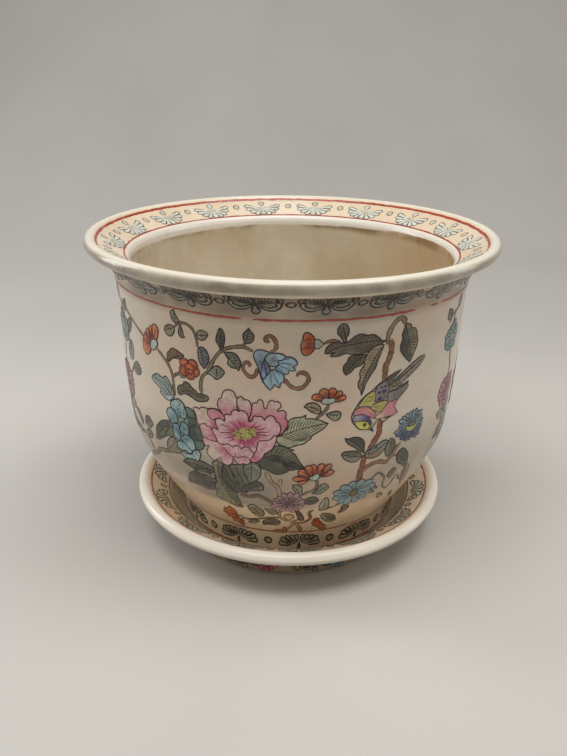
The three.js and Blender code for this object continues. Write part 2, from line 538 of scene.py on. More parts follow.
class Surface:
    """A node material in the making. An input takes a socket, a number, or a colour as sRGB 0 to 255."""

    def __init__(self, name):
        self.material = bpy.data.materials.new(name)
        self.material.use_nodes = True
        self.tree = self.material.node_tree
        self.shader = self.tree.nodes["Principled BSDF"]

    def feed(self, socket, value):
        if isinstance(value, bpy.types.NodeSocket):
            self.tree.links.new(value, socket)
        elif socket.type == "RGBA":
            socket.default_value = (*linear(value), 1.0)
        else:
            socket.default_value = value

    def node(self, kind, inputs, output, **settings):
        """Adds a node, sets it up and returns one of its outputs."""
        node = self.tree.nodes.new("ShaderNode" + kind)
        for name, value in settings.items():
            setattr(node, name, value)
        for name, value in inputs.items():
            self.feed(node.inputs[name], value)
        return node.outputs[output]

    def place(self, axis=None):
        """The point in the piece's own frame in metres, or one of its coordinates."""
        point = self.node("TexCoord", {}, "Object")
        return self.node("SeparateXYZ", {0: point}, axis) if axis else point

    def radius(self):
        level = self.node("VectorMath", {0: self.place(), 1: (1, 1, 0)}, "Vector", operation="MULTIPLY")
        return self.node("VectorMath", {0: level}, "Value", operation="LENGTH")

    def math(self, operation, first, second):
        return self.node("Math", {0: first, 1: second}, 0, operation=operation)

    def blend(self, first, second, amount, mode="MIX"):
        return self.node("Mix", {6: first, 7: second, 0: amount}, 2, data_type="RGBA", blend_type=mode)

    def ramp(self, value, low, high, start=0.0, end=1.0):
        """Maps value from low..high to start..end."""
        limits = {"From Min": low, "From Max": high, "To Min": start, "To Max": end}
        return self.node("MapRange", {"Value": value, **limits}, "Result")

    def noise(self, scale, detail=3, rough=0.5, distort=0.0):
        look = {"Scale": scale, "Detail": detail, "Roughness": rough, "Distortion": distort}
        return self.node("TexNoise", {"Vector": self.place(), **look}, "Fac")

    def cloud(self, scale, between, share=1.0, **look):
        """Soft patches: noise that grows from none to share between two of its values."""
        return self.ramp(self.noise(scale, **look), *between, 0.0, share)

    def by_height(self, stops):
        """A tint that changes with height: stops are (height in metres, colour), from the lowest up."""
        low, high = stops[0][0], stops[-1][0]
        node = self.tree.nodes.new("ShaderNodeValToRGB")
        self.feed(node.inputs["Fac"], self.ramp(self.place("Z"), low, high))
        elements = node.color_ramp.elements
        for element, (_, colour) in ((elements[0], stops[0]), (elements[-1], stops[-1])):
            element.color = (*linear(colour), 1.0)
        for height, colour in stops[1:-1]:
            elements.new((height - low) / (high - low)).color = (*linear(colour), 1.0)
        return node.outputs["Color"]

    def finish(self, tint, gloss, relief):
        """gloss is (noise, least roughness, most), and relief is (noise, strength, depth in metres)."""
        grain, least, most = gloss
        height, strength, depth = relief
        normal = self.node("Bump", {"Height": height, "Strength": strength, "Distance": depth}, "Normal")
        self.feed(self.shader.inputs["Base Color"], tint)
        self.feed(self.shader.inputs["Roughness"], self.ramp(grain, 0.3, 0.7, least, most))
        self.feed(self.shader.inputs["Normal"], normal)
        return self.material


def glaze(name, ground, patch, second_patch, soil_and_shade, soil_and_shade_amount):
    """Glossy glaze with soft patches of tint, a thin film of grime and fine specks. Where the grime is
    strong, as on the stand's outside, it also serves as painted shade.

    ground is a colour, or a list of stops for by_height.
    """
    s = Surface(name)
    tint = s.by_height(ground) if isinstance(ground, list) else ground
    tint = s.blend(tint, patch, s.cloud(11, (0.45, 0.66), 0.6, distort=0.4))
    tint = s.blend(tint, second_patch, s.cloud(19, (0.55, 0.74), 0.4, distort=0.8))
    tint = s.blend(tint, soil_and_shade, s.cloud(60, (0.46, 0.78), soil_and_shade_amount, detail=5, rough=0.65))
    tint = s.blend(tint, SPECK, s.cloud(900, (0.68, 0.80), 0.35, detail=2, rough=0.6))
    return s.finish(tint, gloss=(s.noise(40), 0.13, 0.22), relief=(s.noise(75, 2, 0.6), 0.42, 0.0006))


def lip_glaze(name, wash, pale, wash_edge, side_edge, side_height, soil_and_shade_amount):
    """A rim's glaze: a wash inside the radius wash_edge, pale over the lip, and grey on its side: painted
    shade under the lit top of the lip, mottled with some grime.

    The side lies outside the radius side_edge and below side_height. These three are in metres.
    """
    s = Surface(name)
    washed = s.blend(wash, (234, 218, 194), s.cloud(13, (0.4, 0.62), distort=0.6))
    lip = s.blend(pale, (230, 212, 190), s.cloud(15, (0.5, 0.75), 0.5))
    tint = s.blend(washed, lip, s.ramp(s.radius(), wash_edge - 0.0006, wash_edge + 0.0008))
    # Grey on the lip's side, below its top and outside its edge: painted shade under the lit top of the lip,
    # mottled as grime.
    soil_and_shade = s.blend((116, 106, 90), (158, 142, 118), s.cloud(60, (0.35, 0.65), detail=5, rough=0.7))
    below = s.ramp(s.place("Z"), side_height + 0.0009, side_height - 0.0012)
    side = s.math("MULTIPLY", below, s.ramp(s.radius(), side_edge, side_edge + 0.0015))
    shade_and_grime = s.ramp(s.noise(26, 4, 0.6), 0.3, 0.65, soil_and_shade_amount * 0.6, soil_and_shade_amount)
    tint = s.blend(tint, soil_and_shade, s.math("MULTIPLY", side, shade_and_grime))
    return s.finish(tint, gloss=(s.noise(50), 0.12, 0.24), relief=(s.noise(60, 2), 0.3, 0.0004))


def inside_glaze(name, edge):
    """The pot's inside: clean above a ragged edge at a height in metres, stained and browner to +X below."""
    s = Surface(name)
    ragged = s.math("ADD", s.place("Z"), s.ramp(s.noise(22, 5, 0.65), 0.3, 0.7, -0.001, 0.001))
    lowered = s.math("ADD", ragged, s.ramp(s.place("X"), 0.03, 0.115, 0.0, -0.0038))
    patches = s.cloud(9, (0.42, 0.66), detail=4, rough=0.6, distort=0.5)
    stained = s.blend((220, 210, 188), (202, 187, 158), patches)
    stained = s.blend(stained, (186, 154, 112), s.ramp(s.place("X"), 0.05, 0.112, 0.0, 0.78))
    stained = s.blend(stained, (136, 108, 74), s.cloud(32, (0.62, 0.78), 0.5, detail=5, rough=0.7))
    tide = s.ramp(ragged, edge - 0.0045, edge - 0.0002)
    blotches = s.cloud(17, (0.42, 0.58), 0.9, detail=4, rough=0.6)
    stained = s.blend(stained, (140, 112, 76), s.math("MULTIPLY", tide, blotches))
    clean = s.blend((232, 225, 213), (204, 184, 154), s.cloud(48, (0.58, 0.76), 0.7, detail=5, rough=0.7))
    tint = s.blend(stained, clean, s.ramp(lowered, edge - 0.0003, edge + 0.0006))
    return s.finish(tint, gloss=(s.noise(40), 0.2, 0.32), relief=(s.noise(75, 2, 0.6), 0.42, 0.0006))


def bare_ceramic(name):
    """The unglazed foot ring: fine grained, matt, soiled."""
    s = Surface(name)
    tint = s.blend((196, 178, 150), (140, 118, 92), s.cloud(120, (0.35, 0.7), detail=6, rough=0.7))
    return s.finish(tint, gloss=(s.noise(300, 4), 0.55, 0.8), relief=(s.noise(900, 4, 0.7), 0.5, 0.0003))


def enamel(name, streak, rough=0.2, mottle=0.22):
    """Painted enamel in the colours of the paint attribute, uneven as brushed colour is."""
    s = Surface(name)
    paint = s.node("Attribute", {}, "Color", attribute_name="paint")
    dark = s.blend(paint, (206, 196, 180), 1.0, "MULTIPLY")
    tint = s.blend(paint, dark, s.cloud(streak, (0.35, 0.7), detail=4, rough=0.6))
    tint = s.blend(tint, CREAM, s.cloud(streak * 0.5, (0.56, 0.8), mottle, rough=0.6))
    gloss, relief = (s.noise(150), rough, rough + 0.14), (s.noise(streak * 2), 0.25, 0.0002)
    return s.finish(tint, gloss, relief)


# ---- Border patterns ----

def drop_outline(base, tip, radius, bend=0.0):
    """A petal that is narrow at its base and round at its tip, bent sideways by bend mm."""
    base, tip = np.asarray(base, float), np.asarray(tip, float)
    way = tip - base
    length = np.hypot(*way)
    ahead = way / length
    side = np.array([-ahead[1], ahead[0]])
    arc = [tip + radius * (math.cos(a) * ahead + math.sin(a) * side)
           for a in np.radians((-80, -40, 0, 40, 80))]
    middle = base + way * 0.45 + side * bend
    return np.array([base] + [middle - side * radius * 0.55] + arc + [middle + side * radius * 0.55])


def palmette(brush, petals, ink, width, fills, strokes=0):
    """A fan of round-ended petals, given as (base, tip, radius, bend) and mirrored left and right."""
    for k, (base, tip, radius, bend) in enumerate(petals):
        for side in (-1, 1):
            if side == 1 and abs(tip[0]) < 0.1:
                continue
            root, end = np.array((side * base[0], base[1])), np.array((side * tip[0], tip[1]))
            outline = drop_outline(root, end, radius, side * bend)
            shade = near((0, base[1]), fills[1], fills[0], 8.0)
            brush.petal(outline, shade, ink, width, k * 0.5, outline[1:])
            way = end - root
            across = np.array([-way[1], way[0]]) / np.hypot(*way)
            for lean in (-0.4, 0.4)[:strokes]:
                middle = root + way * 0.4 + across * (side * bend * 0.8 + lean * radius * 0.6)
                stroke = [root + way * 0.1, middle, root + way * 0.7 + across * lean * radius]
                brush.line(stroke, width * 0.65, ink, k * 0.5 + 0.45, step=3.0)


def mirrored(side, text):
    """The points of a shape with its u multiplied by side, which is 1 or -1."""
    return read(text)[0] * (side, 1)


# How many palmettes go round each border, and the mm from one to the next on the pot's wall
NECK_COUNT, NECK_PITCH = 20, 39.9
FOOT_COUNT, FOOT_PITCH = 12, 66.5
RIM_COUNT, STAND_COUNT = 17, 15

NECK_BULB = "13.0,-20.8 15.2,-19.8 16.0,-17.0 15.4,-14.4 14.0,-13.6 12.8,-15.2 12.4,-18.0"
NECK_FAN = (
    "0.8,-12.4 1.2,-20.2 5.0,-21.0 9.6,-21.0 12.8,-19.6 13.8,-16.4 13.0,-12.6 10.4,-10.2 6.8,-9.4"
    " 3.4,-10.6")
NECK_COMMA = (
    "1.0,-11.8 3.6,-8.8 7.4,-7.0 11.2,-7.2 14.0,-9.4 15.0,-12.4 14.2,-14.6 12.6,-14.8 11.8,-13.2"
    " 12.4,-11.6 10.8,-9.8 7.8,-9.0 4.6,-10.2")
NECK_RAYS = [
    (2.4, -20.4), (4.6, -20.8), (6.8, -20.8), (9.0, -20.4), (11.0, -19.2), (12.2, -16.8),
]
FOOT_PETALS = [
    ((1.2, 196.2), (19.4, 197.4), 2.3, 1.8), ((1.2, 196.0), (17.6, 193.6), 2.3, 1.2),
    ((0.9, 195.8), (13.2, 191.8), 2.3, 0.7), ((0.6, 195.6), (8.2, 190.9), 2.2, 0.4),
    ((0.3, 195.6), (3.2, 190.6), 2.2, 0.1),
]
RIM_PETALS = [
    ((1.2, 12.2), (14.0, 14.2), 2.0, -1.2), ((1.2, 12.0), (13.0, 9.6), 2.1, -1.6),
    ((1.0, 11.8), (9.8, 5.6), 2.2, -1.2), ((0.6, 11.4), (5.6, 3.2), 2.2, -0.5),
    ((0, 11.2), (0, 3.6), 2.7, 0), ((0, 12.2), (0, 17.2), 2.4, 0),
]
STAND_PETALS = [
    ((1.0, 3.4), (14.6, 4.9), 2.0, 2.0), ((0.8, 3.6), (12.2, 8.8), 2.1, 1.2),
    ((0.6, 3.8), (7.9, 11.7), 2.2, 0.6), ((0.3, 3.8), (2.7, 12.9), 2.2, 0.2),
]


def neck_band(paint):
    """Half-seen palmettes below the rim, 20 round the pot, with an oval in each gap."""
    fan_shade = near((0, -12), (98, 90, 72), (134, 128, 108), 8, 1)
    for i in range(NECK_COUNT):
        brush = Brush(paint, shift=(-19.9 + NECK_PITCH * i, 0))
        for side in (-1, 1):
            brush.petal(mirrored(side, NECK_BULB), (140, 132, 110), INK, 1.35, layer=0)
            brush.petal(mirrored(side, NECK_FAN), fan_shade, INK, 1.25, layer=0.5)
            for u, v in NECK_RAYS:
                root, tip = np.array((side * 1.4, -13.0)), np.array((side * u, v))
                middle = root + (tip - root) * 0.5 + (side * 1.1, 1.2)
                brush.line([root, middle, tip], 1.3, INK, 1.2, step=3.0)
            brush.petal(mirrored(side, NECK_COMMA), (164, 158, 138), INK, 1.4, layer=1.6)
        brush.petal(drop_outline((0, -11.2), (0, -6.6), 2.3), (134, 138, 130), INK, 1.4, layer=1.6)
        brush.ring((19.95, -13.0), (2.7, 2.9), 1.45, INK, fill=(150, 142, 118))


def foot_band(paint):
    """Palmettes round the foot, 12 round the pot, with an oval in each gap."""
    for i in range(FOOT_COUNT):
        brush = Brush(paint, shift=(12.7 + FOOT_PITCH * i, 0))
        palmette(brush, FOOT_PETALS, INK, 1.2, ((196, 188, 164), (140, 130, 106)), strokes=1)
        brush.petal(drop_outline((0, 197.0), (-0.6, 200.8), 1.5), (150, 140, 114), INK, 1.1, layer=1)
        brush.ring((33.25, 195.5), (3.9, 3.0), 1.3, INK, fill=(186, 170, 140))


def rim_band(paint):
    """Palmettes on the rim that open inwards, 17 round it and closer at the back, with rings between."""
    for i in range(RIM_COUNT):
        turn, gap = (math.radians(181.7 + a - 1.66 * math.sin(math.radians(a)))
                     for a in (360 / RIM_COUNT * (i + 0.5), 360 / RIM_COUNT * i))
        brush = Brush(paint, shift=(turn * RIM_SHEET.ring, 0))
        palmette(brush, RIM_PETALS, (84, 88, 84), 0.75, ((226, 228, 218), (190, 194, 184)))
        brush = Brush(paint, shift=(gap * RIM_SHEET.ring, 0))
        brush.ring((0, 13.2), (2.5, 3.0), 0.8, (104, 104, 94), fill=(214, 208, 190))


def stand_band(paint):
    """Palmettes on the stand's flange that open outwards, 15 round it, with a ring in each gap."""
    for i in range(STAND_COUNT):
        turn = math.radians(5.5 + 360 / STAND_COUNT * i)
        brush = Brush(paint, shift=(turn * STAND_SHEET.ring, 0))
        palmette(brush, STAND_PETALS, (48, 42, 34), 0.9, ((212, 210, 194), (176, 172, 150)), strokes=1)
        brush.ring((22.6, 5.4), (2.3, 2.7), 0.95, (70, 60, 44), fill=(206, 194, 166))


def hoop(paint, v, width, colour, gaps, wear):
    """A painted line round the piece at v, left out where gaps say, and worn thin here and there."""
    brush = Brush(paint)
    round_trip = 2 * math.pi * paint.sheet.ring
    start = gaps[0][1] if gaps else 0.0
    edges = [start] + [e for gap in gaps[1:] for e in gap] + [(gaps[0][0] if gaps else 0.0) + round_trip]
    for first, last in zip(edges[::2], edges[1::2]):
        u = np.linspace(first, last, max(4, int((last - first) / 4)))
        waver = np.array([paint.random.uniform(-0.22, 0.22) for _ in u])
        thick = width * (1 + wear * np.array([paint.random.uniform(-1, 0.4) for _ in u]))
        path = np.column_stack([u, v + waver])
        smooth_path = catmull_rom(path, 2)
        worn = np.interp(np.arange(len(smooth_path)) / 2, np.arange(len(thick)), thick)
        brush.line(smooth_path, worn, colour, step=50.0)


# ---- The pieces ----

# Heights in metres and the outer glaze's ground. The mid-height stops are the glaze's own colour. The darker
# stops under the rim and on the low belly above the crease are painted shade: the rim's shadow and the
# downward-facing belly. The paler stops on the foot are a real peach wash, brightened as painted light
# against the shade of the stand's well.
POT_GROUND_AND_PAINTED_SHADE = [
    (0.014, (240, 218, 188)), (0.036, (248, 226, 192)), (0.0395, (250, 228, 192)), (0.0685, (232, 206, 170)),
    (0.0725, (142, 126, 107)), (0.100, (166, 151, 133)), (0.135, (217, 203, 185)), (0.208, (217, 203, 185)),
    (0.216, (142, 124, 106)), (0.232, (128, 110, 92)),
]


def make_shells():
    biscuit = bare_ceramic("foot_biscuit")
    pot_materials = {
        "bare": biscuit,
        # This glaze's ground by height carries painted shade under the rim and on the low belly, and painted
        # light on the foot.
        "outer": glaze("pot_glaze_outside", POT_GROUND_AND_PAINTED_SHADE, PEACH, (206, 198, 172), (178, 160, 132), 0.28),
        "lip": lip_glaze("rim_glaze", wash=(223, 202, 173), pale=(232, 225, 208), wash_edge=0.1434,
                         side_edge=0.1476, side_height=0.2408, soil_and_shade_amount=0.9),
        "inner": inside_glaze("pot_glaze_inside", edge=0.2202),
    }
    stand_materials = {
        "bare": biscuit,
        # The stand's outer wall has a darkened ground and heavy grime: painted shade for the shadow under its
        # flange.
        "outer": glaze(
            "stand_glaze_outside_painted_shade", (152, 136, 114), (170, 147, 121), (176, 168, 142), (122, 104, 80), 0.55),
        "lip": lip_glaze("stand_lip_glaze", wash=(224, 200, 168), pale=(250, 241, 226), wash_edge=0.1166,
                         side_edge=0.1215, side_height=0.0345, soil_and_shade_amount=0.5),
        # The well's pale ground is painted light: it is lightened to stand in for light in the shaded well.
        "inner": glaze(
            "stand_glaze_well_painted_light", (236, 228, 210), (226, 210, 184), (206, 196, 172), (160, 142, 114), 0.4),
    }
    pot = turned("jardiniere_glazed", pot_section(), pot_materials, closed=True)
    stand = turned("stand_glazed", stand_section(), stand_materials, closed=False)
    for obj, body in ((pot, "jardiniere"), (stand, "stand")):
        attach(obj, body)
        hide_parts(body)


def paint_borders():
    ink = enamel("inked_enamel", 260, mottle=0.2)
    iron = enamel("iron_red_enamel", 160, rough=0.24, mottle=0.3)
    for name, sheet, body, band in (
        ("neck_palmettes", POT_SHEET, "jardiniere", neck_band),
        ("foot_palmettes", POT_SHEET, "jardiniere", foot_band),
        ("rim_palmettes", RIM_SHEET, "jardiniere", rim_band),
        ("stand_palmettes", STAND_SHEET, "stand", stand_band),
    ):
        paint = Paint(sheet, layer=1)
        band(paint)
        paint.build(name, body, ink)

    neck_gaps = [(-29, -22), (80, 94), (102, 106)]
    rim_hoops = [(0.4, 2.0, IRON_RED, (), 0.15), (22.5, 2.2, IRON_RED, (), 0.15)]
    body_hoops = [(0, 1.7, IRON_RED, neck_gaps, 0.35), (184.5, 1.7, (178, 104, 58), (), 0.3),
                  (204, 1.5, (172, 84, 54), (), 0.3)]
    stand_hoops = [(16.5, 1.4, (166, 88, 58), (), 0.3), (0.4, 1.2, (84, 64, 44), (), 0.3)]
    for name, sheet, body, hoops in (
        ("rim_red_lines", RIM_SHEET, "jardiniere", rim_hoops),
        ("body_red_lines", POT_SHEET, "jardiniere", body_hoops),
        ("stand_red_lines", STAND_SHEET, "stand", stand_hoops),
    ):
        paint = Paint(sheet, layer=1)
        for v, width, colour, gaps, wear in hoops:
            hoop(paint, v, width, colour, gaps, wear)
        paint.build(name, body, iron)


# ---- The garden on the pot: motifs as outlines in the sheet's mm ----

def auto_rib(outline):
    """A rib from a leaf's first point to the point farthest from it, bent through the leaf's middle."""
    points = read(outline)[0]
    tip = points[np.hypot(*(points - points[0]).T).argmax()]
    return [points[0], (points[0] + tip) / 4 + points.mean(0) / 2, tip]


def greyed(colour, share=0.2):
    return np.asarray(colour) * (1 - share) + np.mean(colour) * share


def put_leaves(brush, leaves):
    for k, (outline, rib, left, right) in enumerate(leaves):
        rib = rib or auto_rib(outline)
        brush.leaf(outline, rib, greyed(left), greyed(right), veins=2.0, layer=(k % 3) * 0.34)


def put_stems(brush, stems, layer=0):
    for path, width, colour in stems:
        brush.line(path, width + 1.1, DARK_BROWN, layer, ends=0.5)
        brush.line(path, width, colour, layer + 0.3, ends=0.45)
        if width > 3:
            edge, knot = np.asarray(colour) * 0.5, np.asarray(colour) * 1.12
            for k, spot in enumerate(smooth(path, False, 7.5)[1:-1]):
                brush.ring(spot + (0.5 * (-1) ** k, 0), (0.8, 1.3), 0.5, edge, layer + 0.7, fill=knot)


def shown_edge(outline):
    """The part of an outline from its first sharp corner to its last one."""
    words = outline.split()
    corners = [i for i, word in enumerate(words) if word.endswith("*")]
    return " ".join(words[corners[0]:corners[-1] + 1])


def rays(brush, outline, centre, count, width, colour, layer, first=0.72, last=1.35, spread=0.5):
    """Thin strokes that radiate from a centre across one petal, kept inside it."""
    ring = smooth(outline, True, 1.0)
    way = ring.mean(0) - centre
    heading, reach = math.atan2(way[1], way[0]), np.hypot(*way)
    for a in np.linspace(heading - spread, heading + spread, count):
        track = centre + np.outer(np.linspace(first, last, 11) * reach, (math.cos(a), math.sin(a)))
        track = track[inside(track, ring)]
        if len(track) > 3:
            brush.line(track[:-1:2], width, colour, layer, step=4.0)


# Stems and branches: centre line, width, colour
FRONT_STEMS = [
    ("-105,30 -112,26 -118,23 -124,20 -130,17 -136,14.5 -143,17 -150,19", 1.5, BROWN),
    ("-94,32.7 -91,34.5 -88,37 -85,39.5 -82.5,43 -81,46.5 -80.5,50 -80.3,55 -79.6,62", 1.4, OLIVE_BROWN),
    ("-80,49.2 -78,46.5 -74.5,44.5", 1.2, OLIVE_BROWN),
    ("-58.7,23.5 -59,19.5 -59.7,16.5 -61,12.5 -64,9.8 -68,8.8 -72,9.5 -75,12 -76,13.3", 1.2, OLIVE_BROWN),
    ("-57.5,55 -58,50 -57.2,45 -55.5,41.5 -52.5,39 -50.5,35 -48.5,31 -46,27 -43,23.5 -39,20.8 -33,19"
     " -28,18.5 -22,21", 1.5, (146, 124, 96)),
    ("-29,18.5 -26.7,16", 1.0, OLIVE_BROWN),
    ("-12,20.5 -9,19 -8.2,15.5 -9.5,12 -12,10 -14.5,11.5 -14.2,14 -12,13.5", 1.7, BROWN),
    ("-20,32 -20.5,36 -23.5,38.2 -26.5,36.5 -28.7,33 -28,29.5 -25.5,28.5 -24.2,30 -25,31.5", 1.6, BROWN),
    ("-4.5,37 -2.5,39.5 0,42.5 3.5,44.5 7.5,44 10,41.5 11.5,38 10,35 7.5,33.8 5,34.5 4.2,36.5", 1.8, BROWN),
    ("19.5,15.2 22.5,13.8 26,13.5 30,14.5", 1.5, BROWN),
    ("24.5,56 23.5,59 21.5,61.5 19,64 16.5,66.5", 1.5, OLIVE_BROWN),
    ("61.5,20 61.5,14.5 62.5,11 65,6.5 69,3.6 72.5,5.2 74,9", 2.7, (150, 132, 106)),
    ("64,17 64.6,21 64.8,26 63.2,31.5 61.6,35 61.8,39.5 60.8,44.5", 3.2, BROWN),
    ("61.5,72.5 61.2,78 61.3,83 58.5,88 56,93 53.6,97.5 51.6,103 51.4,108 50.4,112 50.8,117 49.8,124", 3.4,
     (158, 92, 62)),
    ("52.5,112 55,108.5 60,106.6 66,106.6 71,108.6 74,105.5 76.5,102 79,98 82,96", 2.4, (152, 112, 84)),
    ("75,104.7 79,105", 1.4, BROWN),
    ("-88,99 -89.5,103 -91,107 -94,110 -99,111.8 -104,113 -108.5,116 -112,120 -117,122.5 -122,125.5"
     " -130,130 -140,136.5 -150,142 -160,147 -168,152 -176,155 -185,156.5 -190,160 -195,163", 2.6,
     OLIVE_BROWN),
    ("-117,122 -117.5,116 -120,111.5 -126,108 -131,110", 1.6, OLIVE_BROWN),
    ("-137,64 -133,60 -130,57.5", 1.4, BROWN),
    ("-36,133 -32,133 -28,133.5 -23,131 -19,132.6 -16,134.5 -13,137.5 -10,140.5", 2.8, (116, 92, 68)),
    ("-15.5,107 -13.4,111.5 -11.5,116 -8.5,119 -6.5,123 -6.3,128 -6.5,134", 2.2, TAN),
    ("-5.5,119 -5.5,115.5 -5,112.5", 1.8, TAN),
    ("10,129 13,126 17,124 19.5,121 20,117 18.8,113 18,110", 1.3, OLIVE_BROWN),
    ("4,146 8,143 12,139 17,136", 1.3, OLIVE_BROWN),
    ("63,125 62.5,121 64.5,118 67,117 70,119.5 72.5,122 74.4,125 75,130 76,134 79,137 82,138.5 84.5,136"
     " 85.5,131 87,127 90,128.5 93,133 97,136 101,141.5 106,151", 0.9, OLIVE_BROWN),
    ("24,149 28,150 33,148 38,144.5 42,142", 1.6, OLIVE_BROWN),
    ("-41,168 -37,168.5 -32,167 -27,165.5 -22,163.5 -14,161 -6,160", 1.6, OLIVE_BROWN),
    ("8,149 10.4,155 9.8,161 6.5,165 2,166 -3,164 -6.5,159 -7,153 -5,148.6", 1.6, (208, 172, 126)),
    ("6,165 8,170 10.5,176 13.5,184", 3.0, (206, 152, 98)),
    ("4,167 4,173 1,178 -2,184", 1.8, (214, 166, 114)),
    ("21,149 17.5,151.5 18.5,157 19.6,161.5 17.6,165.5 14,168.4 9,169", 1.9, (142, 116, 84)),
]

